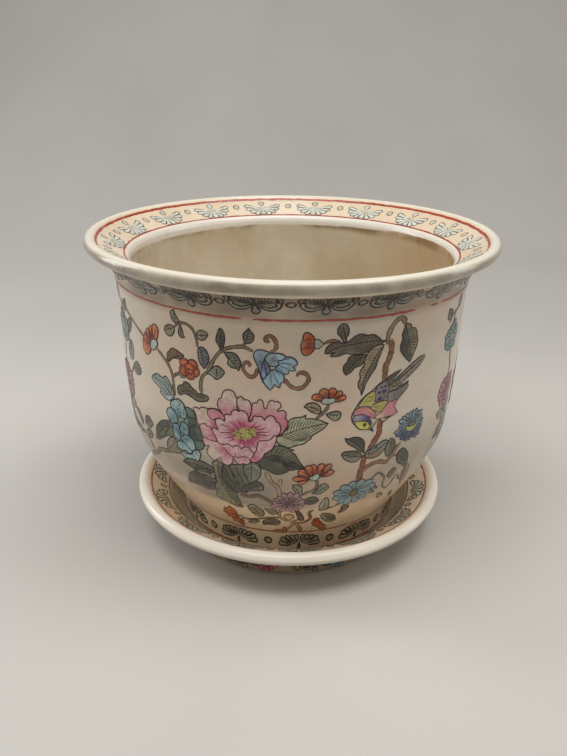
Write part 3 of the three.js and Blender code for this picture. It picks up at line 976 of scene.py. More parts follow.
# Leaves: outline from the stalk, rib or None, colours left and right of the rib
FRONT_LEAVES = [
    ("-84.7,38.5* -84.3,33 -82,30.8 -79.5,28.2 -75,29 -69.8,31.2* -72.5,34.2 -77,34.5 -80.5,35.8"
     " -82.5,38.2", None, BROWN, OLIVE_BROWN),
    ("-75,10* -77,8.5 -78,5.5 -77.7,3 -75,1* -74.2,4 -72.5,6.5 -71.5,8.8", None, (176, 162, 136),
     (160, 150, 124)),
    ("-76,13.2* -78.5,12.2 -81.5,12.8 -84,14.5 -85,16.5 -83.5,19 -81,20.2 -78,19 -76,15.5", None,
     (176, 162, 136), (160, 150, 124)),
    ("-70.5,10.5* -72,12.5 -72.7,16.5 -71,19 -67.7,18.2 -69,17.5 -69.2,15", None, (176, 162, 136),
     (160, 150, 124)),
    ("-59,15* -57.5,12.2 -54.5,11.2 -51.5,12.2 -51,13.8 -53,16.8 -56,18 -58.2,17", None, (184, 166, 136),
     (170, 152, 124)),
    ("-54.5,37* -52,33.5 -51,29.5 -52,25.5 -54.5,22.8 -57.5,23 -58.5,25 -58.5,30.5 -57,34.5", None,
     (150, 148, 150), (124, 122, 134)),
    ("-46.7,43* -49.5,40.8 -52.5,39.5 -50,37 -48,34.5 -45.5,33.5 -42.5,35 -40.7,37.2 -42.5,40 -45,42.3",
     None, (164, 162, 150), (150, 150, 140)),
    ("-42.8,22.5* -43.5,20 -45.5,16.5 -44.5,12 -42.5,7.8 -40.2,10.5 -39.8,14.5 -40.5,19 -42,22.5", None,
     GREEN, DARK_GREEN),
    ("-40.5,23.8* -38,23.2 -33.5,23.5 -31,26.5 -30,30 -31.5,35* -32.5,33.5 -36,33 -38.5,31 -37.7,28 -39,26",
     None, GREEN, GREY_GREEN),
    ("-26.7,16* -28,13.5 -28,10 -26,7.8 -24.5,5.8* -23.2,8.2 -21.5,10.5 -22.5,14.5 -25,16", None,
     OLIVE_BROWN, GREEN),
    ("34,14.5* 32,14.7 30,11.5 28,9 28,5.5 30.5,2.7 33,3.5 34.7,6.5 34.5,10 33.2,12.2", None, OLIVE_BROWN,
     GREEN),
    ("60.5,17* 57.5,16.8 54.5,14 51,11.8 47,11.8 43,10.5 39.5,11.2 37,13 35.5,14.5 32.5,15.5 28,14.5"
     " 24,15.5 21.5,18 20.7,21.5* 24,21.5 26.5,21 24,23.5 29,23.7 34,22.2 36.5,23.2 40,23.5 44,23.5"
     " 48,22.5 52,20 56.5,18.5", "60,17.3 50,16 40,16.5 30,17.6 21.5,21", (142, 130, 104), (124, 112, 88)),
    ("47,24.5* 37,24.5 35,28 32.7,31 33,34.5 34.5,37* 38,35 40,32.5 44,31.5 46.2,28.5", "46,25.5 40,28.5"
     " 35.2,35.5", (114, 109, 77), DARK_GREEN),
    ("59,19.5* 54,19 50,21.5 47.5,25 46,29.5 46.5,31.5 44.5,34 43.5,37 44.2,40 43,43 43.2,46 45,49"
     " 45.7,52.5* 47.2,48 48,45 50.5,40 54,35 55.5,30 57.5,24", "58.5,20.5 54,26 50.5,33 47,41 45.6,51",
     (128, 118, 92), TAN),
    ("74.5,8* 78.5,9.5 79.5,12 82.5,12.7 84.5,15.5 85.2,19 86.5,22 85.7,26 84,30 82.5,33.5 81,35.8*"
     " 78.5,33.5 76,31 74,28.5 72,25 72,21 73,18.5 72.2,15.5 73,12.5", "74.5,9.5 77,17 80,25 81,34",
     (149, 139, 109), DARK_GREEN),
    ("-102.75,55.5* -101,53.5 -98.5,51.75 -95.5,50.75 -92,52 -90.2,52.2 -88.5,50.5 -87,50.2 -84.5,52.7"
     " -82.5,55.5 -81.2,58.5 -80.7,61.5 -81,64 -84,66.5 -87,67.5 -90.5,66.5 -93.5,64.7 -94.5,63.7*"
     " -92.7,62.2 -94.7,60.7 -96.5,59.5 -100,58.2 -102,56.7", "-81.5,64.5 -83.5,62.5 -87,59 -91,56.5"
     " -97,55.2 -102,55.5", (181, 203, 201), (154, 181, 181)),
    ("-76.5,59.5* -77,56 -75,53.2 -72,52 -71,49.8 -69,49.5 -67,50 -65,52.3 -62.5,53.7 -60.3,55.5 -57,55.2"
     " -53,56* -52.5,57.5 -54,59.5 -57.5,60.7 -61.5,61 -65,59.5 -69,58.2 -72.5,58.5 -75,60.5", "-76,59"
     " -69,55.5 -61,57.5 -54,57.5", (124, 112, 90), (140, 128, 102)),
    ("-86,88* -84.5,86.5 -85.5,84.7 -88.5,83.8 -92,84.7 -95,85.7 -98.5,88 -101,90.5 -103.5,93 -105,96"
     " -105.8,99.5 -106.5,102.5 -107.5,105* -103.5,104.3 -101,102.7 -98.5,101 -96,99 -93,97.5 -91,96.3"
     " -87.5,96 -85,95 -84,92", "-86,88 -93,90 -100,97 -106,104", (124, 122, 87), DARK_GREEN),
    ("-84,96.5* -88,97 -91,99 -93.5,103 -94,108 -91,110 -87.5,109 -84,108.2 -80.5,107 -79.5,105 -81,103"
     " -82.5,100", None, (159, 146, 119), (186, 176, 144)),
    ("-52,113* -54,110.5 -57,109 -61,107.7 -66,108 -70,107.5 -73,108.5 -76,110.5 -78,112 -80,114* -77,115"
     " -74,116 -71,117 -68,117.5 -65,115.5 -60,116 -56,116.5", "-53,114 -62,112 -72,112.5 -79,114",
     DARK_GREEN, GREEN),
    ("-52,122.5* -55,121 -60,120 -64,120.5 -69,119.5 -72,120.5 -75,122.5 -77.5,125 -79,128 -81,131.5"
     " -83,136* -80,135 -76,134.5 -71,134.3 -68.5,135 -66,135.8 -62,135.2 -58,134.3 -56,133 -55.3,130"
     " -55.2,127 -53.5,125", "-53,124 -62,127 -72,130.5 -82,135.5", DARK_GREEN, (114, 107, 74)),
    ("-71,117.5* -66,116 -60,113.5 -54,114.5 -52,118 -54,121 -60,119.5 -66,119.8 -69,119", "-53,118"
     " -60,117 -70,118", (159, 154, 117), (174, 166, 129)),
    ("-49,103.5* -52,105 -53.5,107 -52.5,112 -53,118 -52.5,122.5 -54.5,126 -55,130 -55,134 -56,137"
     " -57,140.5 -54,141.5 -53.5,144.5 -51,145.5 -48.5,147.5 -45.5,149 -43,150.5 -40,150.8 -36.5,149.5"
     " -37,145 -37.5,140 -38.5,136 -38.5,131 -41,127 -44,123 -47,120 -47,115 -46,110 -45,106", "-49,104.5"
     " -49.5,115 -48,127 -44,139 -38,149.5", (129, 124, 89), (166, 156, 119)),
    ("-45,106* -41,106 -39.5,110 -38.5,114 -37.5,118 -35.5,121 -35,124 -31,125.5 -29.5,128 -30,129.5"
     " -33,129.8 -35.5,130 -38,131 -40,131 -42,128 -45,124 -47,118 -46.5,110", "-44,107 -42,115 -38,123"
     " -31,129", (119, 114, 79), DARK_GREEN),
    ("-40,104* -36,104 -33.5,103.2 -31,103 -30,103.5 -30.5,108 -29,112 -28,116 -27,120 -30,124 -34,122"
     " -36,117 -38.5,112 -40,108", "-36,104.5 -34,112 -29.5,122", (140, 132, 110), (122, 116, 94)),
    ("-28,102.5* -25.5,101 -22,100 -20,101 -18.7,104 -18.5,108 -19.5,112 -21.5,114.5 -23.5,117 -26,119"
     " -28,117 -29,112 -30.5,108 -30,103.5", "-24.5,101.5 -25,108 -26,118", (152, 156, 142), (136, 142, 130)),
    ("-26,118.5* -24,116.5 -21,116.5 -19,117.5 -17.5,120 -17.3,123 -18.5,125 -22,125.5 -26,126.5 -30,128"
     " -33,129.5 -34,126 -31,122 -28,120", "-19,119 -24,122.5 -32,128.5", GREEN, DARK_GREEN),
    ("-18,97* -16,94 -14,91.5 -11,89 -9,86.5 -6,85.5 -3,86 -1,87.3 1,88.3 3.3,88.8* 1.5,90.5 4,92 5.5,95"
     " 7,98 9,101 11,103.5* 7,103.5 3,104.5 0,105 -1.5,106.5* -3.5,107.3 -6,108.5 -9,108.3 -12,106.8"
     " -14,105.5 -16,105 -19,104 -20.5,102.5 -22,100.5", "-18,96.5 -10,93.5 -4,94.5 2,97.8 10.5,103.3",
     (124, 122, 87), DARK_GREEN),
    ("-7.5,79* -5,78 -3,75.5 -1,73 -0.7,70 -0.3,67.5 2,65.5 5,64.8 8,64.5 10.5,62.8* 10,65.5 13,65.8"
     " 17,66.5 20,67.5 22.5,69 24.8,69.7* 23,72 21,74 18,76 15,78 13.5,79* 14.5,79.8 12,82 9,84.3 5.5,85"
     " 2,86.5 -1,87 -4,86 -7,84 -8.3,81", "-7,79.5 -1,76.5 6,73.5 13,71.8 19,70.5 24.5,69.8",
     (196, 198, 161), (184, 186, 149)),
    ("19.7,60* 19,62.5* 16,62 13,60.5 11,58.5 9,57.2* 11,55.2 14,54.5 17,55.5 19,57.5", "19.5,61 15,58"
     " 9.6,57.2", TAN, (186, 169, 129)),
    ("23,63* 26,62 30,61.5 32,62.3 32.8,64.5 32,67 30.5,68.3 28,68 26,66.5 24.5,65", None, GREY_GREEN,
     LIGHT_GREEN),
    ("36.5,82* 38.5,83.2 42,82.5 46,83 49,84.8 50.5,87.5 51,90 51,93 51.5,96* 49,94.5 46,92 43.5,90"
     " 40.5,88 38,85.5", "37,82.5 43,86 48,91 51,95", DARK_GREEN, GREEN),
    ("50.5,98.5* 48.5,96 46,93.7 43,93 39,92.8 36.5,92.8 35,94 36,96.5 38,99 41,101 44,102 46,101.7"
     " 48.5,100", "50,98.5 42,97 35.5,94.5", GREY_GREEN, GREEN),
    ("52,97.5* 53,95.5 56,94.5 59,92.5 62,91 65,89.8 68,89.8 70,90.8* 68.5,93.5 68,96 66,99 63,101"
     " 59,101.7 55,100.8 52.5,99.5", "52,97.5 60,97 69,91.5", (146, 161, 159), (174, 149, 119)),
    ("71,104* 69,101 68.3,97.5 68.8,94 70.5,91 72,89.5 74,90.5 76,93 76.7,96 76,99 74.5,101.5 73,103.5",
     "71,103.5 72.5,97 72.3,90.5", GREY_GREEN, OLIVE_BROWN),
    ("79.5,105.5* 82,102.5 85,101.3 87.5,103 90,105.5 92.5,109 93.5,113 94.3,117 94,120* 91,119 88,116.5"
     " 84,114 81.5,110.5", "79.5,105.5 85,109 90,114 94,119.5", DARK_GREEN, (114, 114, 79)),
    ("59.5,124.5* 64,126 68,130 71.5,135* 67,133 63,130.5", None, GREY_GREEN, LIGHT_GREEN),
    ("62,132* 66,134 70,138.5* 66,138 63,135", None, GREY_GREEN, GREEN),
    ("94.5,119.5* 98,120.5 100.5,124 102.3,129 103.6,134 104,139* 101,140.5 98,137 95,131 93.4,125", None,
     (206, 132, 112), (168, 92, 74)),
    ("3,118* 5,117.5 7,118.5 9.5,120 9.5,125 10,129 8,130 6,127 4.5,124 3.3,121", "9,129.5 7,124 3.5,118.5",
     GREY_GREEN, LIGHT_GREEN),
    ("17,127* 19,125 21,121 23.5,118 26,118 28.5,121 28.5,122.5 26,125.5 23,127.8 20,128", None, GREY_GREEN,
     (161, 169, 146)),
    ("28,133* 26,137 24.5,142 25,147 28,150 31,148 32,143 31,138 29.5,134", None, LIGHT_GREEN,
     (218, 213, 176)),
    ("-26,167.5* -29,167.5 -33,169 -36,171 -37.5,174.5* -33,175 -29,172.5 -26,170", None, (196, 178, 144),
     (176, 158, 124)),
    ("-6.5,168* -8,164.5 -11,163 -15,163 -19,165 -21.5,167 -23,171 -22.5,175* -20.5,172 -17,173.5"
     " -12,173.5 -8,171.5", None, (162, 144, 108), (146, 130, 98)),
    ("-24,161* -27,160 -29.5,157 -31.5,152 -32.2,148 -32,145.5 -30,143.5 -27,143 -24,144.5 -22,147 -20,151"
     " -19.5,155 -21,159", "-23.5,160 -26,152 -29,145", (176, 166, 136), (160, 150, 118)),
    ("-12.5,156* -15,154.5 -17,151 -18.5,147* -16,146 -12,146.5 -9,149 -8.5,152 -10,155", None,
     (186, 164, 132), (166, 152, 126)),
    ("44,171* 40,172 35,169.5 31,165 28.5,160 29,156 33,156 38,159 42,163 44,168", "43.5,171 36,164"
     " 30.5,157.5", (169, 171, 134), (139, 136, 102)),
    ("-132,32* -134.5,29 -133,24 -130,21 -126.5,20* -126.5,25 -129,29", None, GREEN, OLIVE_BROWN),
    ("-135,52* -137,46 -134,39 -130,37.5 -127,42 -128,48 -131,52", None, SLATE, GREY_GREEN),
    ("-131,57* -127,53 -122,50.5 -118.5,53 -117,56.5 -120,59.5 -125,61 -129,59.5", None, OLIVE_BROWN, GREEN),
    ("-112,91* -113,90 -117,90.5 -120,93 -121,97.5 -119,99.5 -115,99.5 -111,96.5 -108.5,94*", None, GREEN,
     DARK_GREEN),
    ("-112,103.5* -114,107 -117,109 -120,108 -121,104 -118,101.5 -114.5,101.5", None, GREY_GREEN, GREEN),
    ("12,136* 14,132.5 17.5,131 21,132.5 22.5,136 20,139 16,140 13,138.5", None, (112, 102, 82),
     (104, 94, 76)),
    ("44,147.5* 48,148 51,151 50,155.5 47,158.5 43.5,158 44.5,153", None, (168, 138, 104), (150, 122, 92)),
    ("5,147* 8,148.5 11,154 13.5,160 14,164 11,165 9,161 7.5,155", None, (178, 140, 108), (166, 126, 96)),
    ("81,117* 83.5,119.5 83,123.5 80.5,126.3 77,124.5 77,120.5 79,117.8", None, (150, 144, 124),
     (136, 130, 110)),
    ("75,142.5* 78,143 82,146.5 84,150.5 80,151 77,148.5", None, (214, 194, 164), (206, 186, 156)),
    ("94,150* 97,151.5 100,155.5 100.5,158.5 97,157 95,154", None, (170, 154, 130), (160, 144, 122)),
    ("-139,92* -134,91 -129,93 -126,98 -127,101.5 -131,98 -135,95.5", None, DARK_GREEN, GREEN),
    ("-141,106* -137,104.5 -133,106.5 -130,109 -134,110.5 -138,109.5", None, OLIVE_BROWN, GREY_GREEN),
]

PEONY_BACK = [
    "-44.2,64.8 -45.8,62.5 -46.3,60 -45.8,57.5 -44.8,55.8 -43.3,55.2 -43,53.5 -42.2,51 -40.5,49.3"
     " -38.5,48.7 -36.5,48.8 -34.8,50 -33.8,52 -33,53.8 -33,56.5 -32.8,59 -31.8,61.2* -33,66 -38,70"
     " -42,69*",
    "-33,54.5 -32,53 -30.5,52.3 -29,53 -28,54.5 -27.5,54 -26,54.2 -24.8,55 -24,57 -23.5,59.5 -25,66 -31,66"
     " -33,60",
    "-23.3,59.5* -23.5,58 -22.5,56 -21,55.5 -20.2,56* -20,55 -19.2,53.6 -18,52.9 -16.8,53.8 -16,56 -16,58"
     " -15.2,59.2 -14.2,58.8 -13.5,56.5 -12.8,54.2 -11,53 -9.8,53.2 -9.2,54.5* -8.5,53.8 -7,53.8 -5.5,55"
     " -5,57 -6,58.5 -7.5,59.5* -7.2,60.8 -5.5,60.3 -4,59.8 -2.3,61 -1.9,63 -2.5,65.3* -1.5,66.5 -0.8,68.5"
     " -1,70.8 -2,73 -3.5,75.2 -5.5,77.5 -7.5,78.3 -11,76 -14,71 -20,69 -25,68",
]
PEONY_OUTER = [
    "-65,67.2* -63.5,66 -61.5,66 -60,66.5* -58.5,65 -56,64.5 -53.5,65* -51,64 -49,63.8 -46.5,64 -44.8,65"
     " -43.2,66.8 -42,68.5 -43,73 -47,79 -51.7,79.2* -53.5,77.8 -55,78* -56,76.5 -58,77 -59.3,77.3*"
     " -60.5,79 -62.3,75 -63,71.5",
    "-60.8,79* -59.3,77.3 -58,77 -56,76.5 -55,78* -53.5,77.8 -51.7,79 -50.3,82 -48.7,85 -47,88 -51.5,88"
     " -54,88 -56.5,87 -58.8,87 -59.8,83",
    "-58.5,86.5* -59,89 -58.3,92 -56.8,93.8* -55,92.5 -54,93.2* -50,94 -45,92 -44,88 -48.8,86.8 -51.5,86.8"
     " -54,87.2 -56.5,86",
    "-54.2,93* -55.3,94.5 -56.3,96.5 -56.5,98.5 -55.5,100.5 -53.5,102.3 -51,103.8 -49.5,102.8 -48,101.5"
     " -47,100.2* -43,97 -41,92 -43.5,89.5 -48,89 -52,90.5",
    "-37.2,98.3* -36.2,100 -35,101.8 -33,103 -31,102.5 -30,101.8* -28.5,102.5 -26.5,101.8 -25.3,100"
     " -25.3,98* -29,94 -34,94",
    "-47,100.3* -46,101.5 -45.5,103.5 -44,105 -42,105.5 -39.5,104.5 -38,102.5 -37.3,100 -37.2,98* -37.5,94"
     " -41,91 -43.2,93 -45,97",
    "-22.5,93* -21,90 -20,85 -18.5,82 -15,80 -12,79 -10,78 -8,78* -8,81 -8.8,84.5 -10.5,88 -13,90.5"
     " -15.5,92* -16.5,94.5 -18,97 -20,99 -22.5,100 -24.8,99.5 -25,97.5 -23.5,95.5",
    "-43,91.5* -42,93.5 -40,96 -38,97.5 -35,97.7* -32,97 -29,96.3 -27,96.5 -25.3,97.8* -24,96 -22.8,93.5"
     " -21.5,90 -24,86 -34,86 -42,87",
]
PEONY_BOWL = (
    "-41.3,69.5* -42,67.8 -41,66.6 -39.5,66 -38,66.5 -37.2,66* -36.5,63.5 -35,62.2 -33.5,62 -32,63* -31,62"
    " -29.5,61.8 -27.5,62.8 -26.2,65 -25.7,67.5 -25.5,69.5* -24,69 -23,67.5 -22.5,65.2 -21,64.8 -20,65.3*"
    " -18.5,64.8 -17,65.2 -16,66.5 -15.3,67.8* -14.5,65.5 -13,64.2 -11,63.8 -9.5,64.5 -8.7,66.2 -8,68*"
    " -6.5,68.8 -5.5,71 -5.3,74 -6,76.5 -7.3,78* -9.3,78 -10.5,79.5 -11.8,81.3 -13.5,82 -16,82.2*"
    " -18.5,82.8 -20,84.5 -20.5,87 -21,90 -21.5,91.8 -22.7,92.4 -24,91.5 -25,90* -26,89 -27.5,88.3"
    " -29,88.8 -30.5,89.8 -31,91* -31.8,89.5 -33,88.3 -34.5,88.2 -35.8,88.8 -37,90.3* -38,89.2 -39,88.5"
    " -40.5,88.3 -42,88.8* -43.5,89 -45.5,89.3 -47.3,88.5 -48.3,86.5 -48.5,84.8* -49.3,83.5 -50.5,82"
    " -51.2,80 -50.8,78.5 -49.5,78 -48,78.5 -46.5,79* -47,77 -48.3,74.8 -48.2,73 -48,71 -46,70.3"
    " -44.5,70.3 -43,71")
PEONY_ROOTS = [
    (-48, 76), (-49, 84), (-45, 91), (-43, 93), (-32, 94), (-41, 93), (-22, 98), (-42, 97),
]
PEONY_FOLD = (
    "-53.5,65.5* -53.8,68.5 -52.5,71 -50,72.4* -48,70.8 -45.5,70 -43.3,71 -42,72* -41.3,70.5 -42.5,67.5"
    " -44.8,65.2 -48,63.9 -51.5,64.5")
PEONY_CENTRE = (-28, 78.5)
PEONY_STREAKS = [
    (-41, 76.8), (-41, 79.5), (-42, 82), (-43, 84.5), (-40, 86.5), (-33, 88), (-29, 88.5), (-25, 89),
    (-21.5, 88), (-12, 75.5), (-14, 72.5), (-17, 70.5), (-20.5, 69.5), (-29, 70), (-33.5, 68), (-39.2, 70.5),
    (-45, 74), (-46, 80.5), (-12.5, 78.5), (-16.5, 80.2),
]

TURQUOISE_PETALS = [
    "-81,97* -82.5,99 -82,101.5 -80,103 -77.5,104 -75,102.5 -74,103.2 -72,104.3 -70,103.5 -68.8,101.5"
     " -70,100 -73,98 -76,96.5 -79,96.3",
    "-79.5,105* -79,107 -77.5,109 -75.5,109.5 -73.5,108* -72,109 -70,107.5* -68.5,108.5 -67,107.5*"
     " -65.5,109 -63.8,107 -62.5,104 -62.2,101.5 -63,99.5 -66,99.5 -68,101 -69.5,104 -73,105 -77,104.5",
    "-84,84* -84.5,88 -84.8,91 -84,95 -82,95.7 -79.5,96 -78,93 -78,90 -78.5,87 -79,83.5",
    "-75,90* -72.5,89.5 -70,89.7 -68.5,91 -66.5,93 -66,96 -66,99 -67.5,100.5 -69.5,101 -71.5,99.5"
     " -73.5,97.7 -75.5,96.3 -77.5,95 -78,93 -77,91.7 -75.5,91.5",
    "-84.7,70* -84,67.5 -82,66 -79.5,64.5 -77,63.7 -75,64.5 -72.5,66.5 -72,69 -70.5,72.5 -70.5,75 -72,77"
     " -76,77 -80,76 -83,73",
    "-84.5,72.5* -87.5,73.7 -89.2,76 -89.2,79 -88,80.5* -87.5,82.5 -85.5,84.5 -83,84 -81,82.5 -79,82"
     " -79,78 -80,74.5 -82,73",
    "-75,80* -73,80.2 -71,81 -70,83 -70,86 -70.3,88.5 -72,89.8 -74.5,89.5 -76.5,89 -78,87.5 -78,85.5"
     " -77,84 -77,82 -76,80.7",
]
TURQUOISE_SHADOW = (
    "-71.5,68.5 -69,67.8 -66.5,68.5 -64.5,70.5 -63.5,73* -63.5,76 -62.5,79 -61,82 -59.5,85 -58.5,87.5"
    " -59,91 -58.3,94 -60,97 -62.5,98.5 -66,98.7 -66.5,95 -67.3,92 -69,90 -70,89 -70,84 -71,81 -73.5,79"
    " -72,77 -70.5,75 -70.7,72")
TURQUOISE_STROKES = [
    "-70.2,75 -63.5,74.8", "-73.3,78.7 -71,76 -69,75", "-70,82.5 -66,80.5 -64,79.5", "-65.5,91 -59,90.5",
    "-75,67 -76.6,68 -77.5,68.7", "-76.5,70.5 -78.7,72 -77.5,73.7 -75,74.5",
    "-75.2,75.7 -78,76.5 -79.5,78 -79,81",
]

BELL_PETALS = [
    "-21.5,21.5* -22,24 -20.5,28 -19,32 -17,39.5 -15.5,41.5 -14,38 -15,30 -15.5,25.5 -12,21.5 -16.5,19.5"
     " -19.5,19.8",
    "-15.5,25.5* -12.5,30 -11.5,34 -13.5,35.8 -16,39 -17.5,35 -17,30",
    "-12,21.5* -7.5,21.2 -4.5,21.8 -2.5,23.5 -5,25.8 -7.5,26 -6.5,28.5 -8.5,30 -12,29.8 -15,26 -14,23",
    "-2.5,23.7* 0,23.5 3,25 4.5,28 3,29.5 1.5,30* 3.5,32 1.5,32.7 -0.5,32* -1,34.5 -3.5,35 -6,33.5 -9,32"
     " -8.5,30 -6.5,28.5 -7.5,26 -5,25.8",
    "-16.5,39.5* -15,42.5 -12,46 -10.5,44.5 -9.5,42* -6.2,44.2 -5.7,41 -4,40.5* -3.5,38 -4,35 -6,33.5"
     " -9,32 -11.5,33 -13.5,35.8",
]

ORANGE_FAN = [
    "-96,16.2 -94,15.2 -91,18.5 -93.5,26 -97,27 -98.5,22 -97,18",
    "-97,17 -98.5,17.5 -100,19 -101,23 -99.5,27.5 -96.5,26.5 -97,21",
    "-100.5,20 -102,20 -104.5,22 -105,25 -101,29 -98.8,27.5 -100,23",
    "-105,23 -106,24 -107.5,26.5 -109,29 -107,31.5 -101.5,30.5 -101,28 -104,25.5",
    "-108.5,29 -110,31.5 -110,34.5 -109.5,37.5 -106.5,39.8 -103,38 -101.3,35.5 -100.5,33.5 -101.5,30.5"
     " -105,30.5",
]
ORANGE_FAN_CALYX = "-99,27.8 -94.5,26 -93,28.5 -95,32.5 -99,34.5 -100.8,32.8"
ORANGE_BUD_CALYX = "-75,44.5 -73.8,42.5 -71.5,43.2 -69.5,46 -73,46.8"
ORANGE_BUD_LOBES = [(-69.6, 36.6), (-63.4, 36.2), (-62.2, 40.4), (-70.2, 41.6), (-65.6, 43), (-66, 39.2)]
ROUND_BUD = (
    "7.5,9.5 9,7.5 11.5,8.2 13.5,10.2 14.5,12.5 14.2,15 14.5,17.5 13.2,20 10.5,22.2 8,22 6.5,19.5 6.2,15.5"
    " 7.2,12.5")
ROUND_BUD_CALYX = "14.5,12.2 16.7,12.2 19.2,14.5 19.7,15.2 18.5,16.5 17.2,17.7 14.5,17.5"
ORANGE_SPRAY = [
    "13.5,51.5* 14.5,49 17,48.5 20,50 23,53.5 20,54 16,53",
    "18,48.8 19,46 21.5,45 23.7,46.7 24.5,50 24,53 21,51",
    "24,47 25.5,45.2 27.7,45.2 29,47.5 28,50.5 25.5,53 24,51",
    "29,48.2 31,47.2 33,48.7 32.7,50.6 29,53 26,53.5 27.5,50.5",
    "32.8,50.5 34.5,50.5 35.5,52.2 34,54 30,54.8 26.5,54.2 29.5,52.2",
]
ORANGE_SPRAY_CALYX = "19.5,53 20.5,52 22.5,51.5 24.5,52.2 27,51.7 28.7,53 28,54.7 25.5,55.7 23.5,56 20,55"
ORANGE_DAISY = [
    "3,112 5,110.3 9,109.5 12,111 14,113 9,114.5 5,114",
    "7,109.5 6.5,106 8,103.8 10,104 12,107 14,111.5 10,111",
    "11,103.5 12,101.3 14,101.2 16,103 16.5,107 15.5,110.5 13,108",
    "15,101 17,100.5 18.5,102 19,106 18,109 16.5,108 16,104",
    "19.5,102 21,100.3 23,100.3 24,102.5 23.5,106 20.5,110 19,108",
    "24,102.5 26,101.3 28,100.8 29,101.8 28,103.5 28,105.5 25,108.5 22,109.5",
    "27,105.5 29,106 31.3,107.8* 29,110 26,110.8 21.5,110.6 23.5,108",
    "7,117 6.5,115 9,114 14,112.2 12.5,114.5 11,116 9,117.5",
]
ORANGE_DAISY_CALYX = (
    "14.5,112.5 14,110.5 16,110.2 17.5,108.8 19.5,107.8 20.8,109 21,111.5 19.5,113.5 17,114 15.5,113.8")
LOW_BUD = (
    "-50.5,153* -48,154.5 -46,157.5 -45.3,161 -45.5,165 -44,170 -42.3,174 -43,178 -44.5,182* -47,181"
    " -49,178.5 -51,177 -54,178.5* -53.5,174 -55,171.5 -58,171.5* -57,168 -60,165.5* -57.5,164"
    " -58.5,160.5* -56,160.5 -55.5,156* -53.5,158 -52,156")
RED_BUD = (
    "25,162* 27.5,163 28,166 31,170 34,174.5 37.5,179 38.5,184.5* 36,186 32,182 28.5,178 25.5,175.5 23,173"
    " 22,169 23.5,167 22.5,164.5")
ORANGE_PATCHES = [
    "-14,184 -12,181.5 -8,180.5 -5,181.5 -4,184.6 -9,185",
    "-4.5,184 -4.6,179 -3.5,176 -1.8,176 -1,179 -1.4,184.5",
]

BIRD_BODY = (
    "56.3,80.5* 54,78.7 52,77.8 50.5,77.8 47.5,77.5 45,76 42.5,73 41,71 40.2,69 40,67 40.5,64.5 41.5,62.5"
    " 43.2,59.5 45,56.5 47.5,54 50,52 53,50.3 55,48.8 57,47 59.5,45.3 62,44.5 66,45 72,47 75,50 77,53"
    " 76,57 74,60.5 72.5,63 71.5,65 73,68 74.8,70.5* 70,71.5 66,71.2 61,71.7 58,73.5 56.5,76 55,77.5")
BIRD_FEATHERS = [
    ("62.5,44 66,42 70,40.5 74.5,39.5* 71.5,42 68,44.5 65,46", (96, 90, 88), (80, 76, 80)),
    ("66,47.5 72,44 78,40.5 85,36.5 91,34.2 95.5,34.5* 95,36 92,39 88,42 83,45 78,48 74,50.5 69,50",
     (184, 176, 154), (150, 142, 122)),
    ("64.5,47 68,46.5 72,46.5 74.5,48.5 74.5,51 71,52.5 66,53.5 65.5,50", (172, 166, 134), (160, 152, 124)),
    ("65,54 68,53 73,52 78,50.5 81.5,49* 81,51 82,52.5* 80,55 77.5,57 75,59.5 73,61 69,61 65.5,60.5"
     " 65,57.5", (158, 152, 144), (134, 130, 124)),
    ("55,52 56,48.5 58.5,46.5 62,45.5 64.5,47 66,49 65.5,53 64,57 60,58.8 56.5,58.5 55.3,55.5",
     (156, 150, 158), (140, 136, 142)),
]
BIRD_PATCHES = [
    ("65,61 69,60.5 73,60.5 72.5,63 71.5,65 73,68 74.8,70.5* 70,71.5 66,71.2 61,71.7 56,70.3 61,67 63.5,64",
     along((70, 66), (58, 71), (222, 138, 156), (230, 205, 178))),
    ("43.9,60.2 45.6,57 48,54 50.6,52 53.6,50.6 55.4,52 55.6,56.5 54,61.3 50,60.6 46.5,60.2",
     (198, 190, 116)),
    ("53,62.5 56,60 60,59 65,59.5 65,62 62,65.5 59,66.3 56,64.8", (204, 196, 114)),
    ("41.5,62.6 46,60.4 50,60.8 53.5,63 57,67 57,70.3 53,69 50,67.4 47,66.2 43,66.2 41.2,66",
     (206, 128, 142)),
    ("41,68 43,66 47,66 51,68 54,72 54.5,76 52.6,73 50,71.4 46,70.4 43,70.8 41.2,70",
     along((42, 68), (54, 73), (176, 172, 192), (62, 62, 104))),
    ("42.5,71 44.5,70.6 48.5,71.2 51.5,72.6 53,75 53,77 50.5,77.7 47.5,77.2 45,75.6 43,73.2",
     (226, 220, 112)),
]
BIRD_STROKES = [
    ("42,62.8 47,62.2 52,64 56,67.5", 1.0, (232, 176, 140)),
    ("42,64.6 47,64 51,65.8 55.5,69.4", 0.8, (228, 160, 160)),
    ("48.3,56.4 51,57.2 54,56.2", 0.5, (120, 110, 60)), ("50,54 52.5,54.8 55,54.2", 0.5, (120, 110, 60)),
    ("54.5,62 59,62.6 63.8,61.4", 0.5, (120, 110, 60)), ("56.5,64 60,64.4 63,63.2", 0.5, (120, 110, 60)),
    ("66,48.6 74,45 84,40 94,35.4", 0.9, (74, 64, 56)), ("66,50.5 74,49.2", 0.6, (80, 70, 56)),
    ("65.5,54 68.5,52.6 71,53.4 74,51.6 77,52 81.5,49.2", 1.1, (58, 50, 48)),
    ("53,76.2 55,78 56.6,80.6", 1.5, (60, 50, 46)),
]
BIRD_SPOTS = [
    ((59, 56.8), 1.5), ((62, 52), 1.5), ((58.4, 52.4), 1.0), ((62.8, 48.6), 1.0), ((59.6, 48.8), 0.9),
]


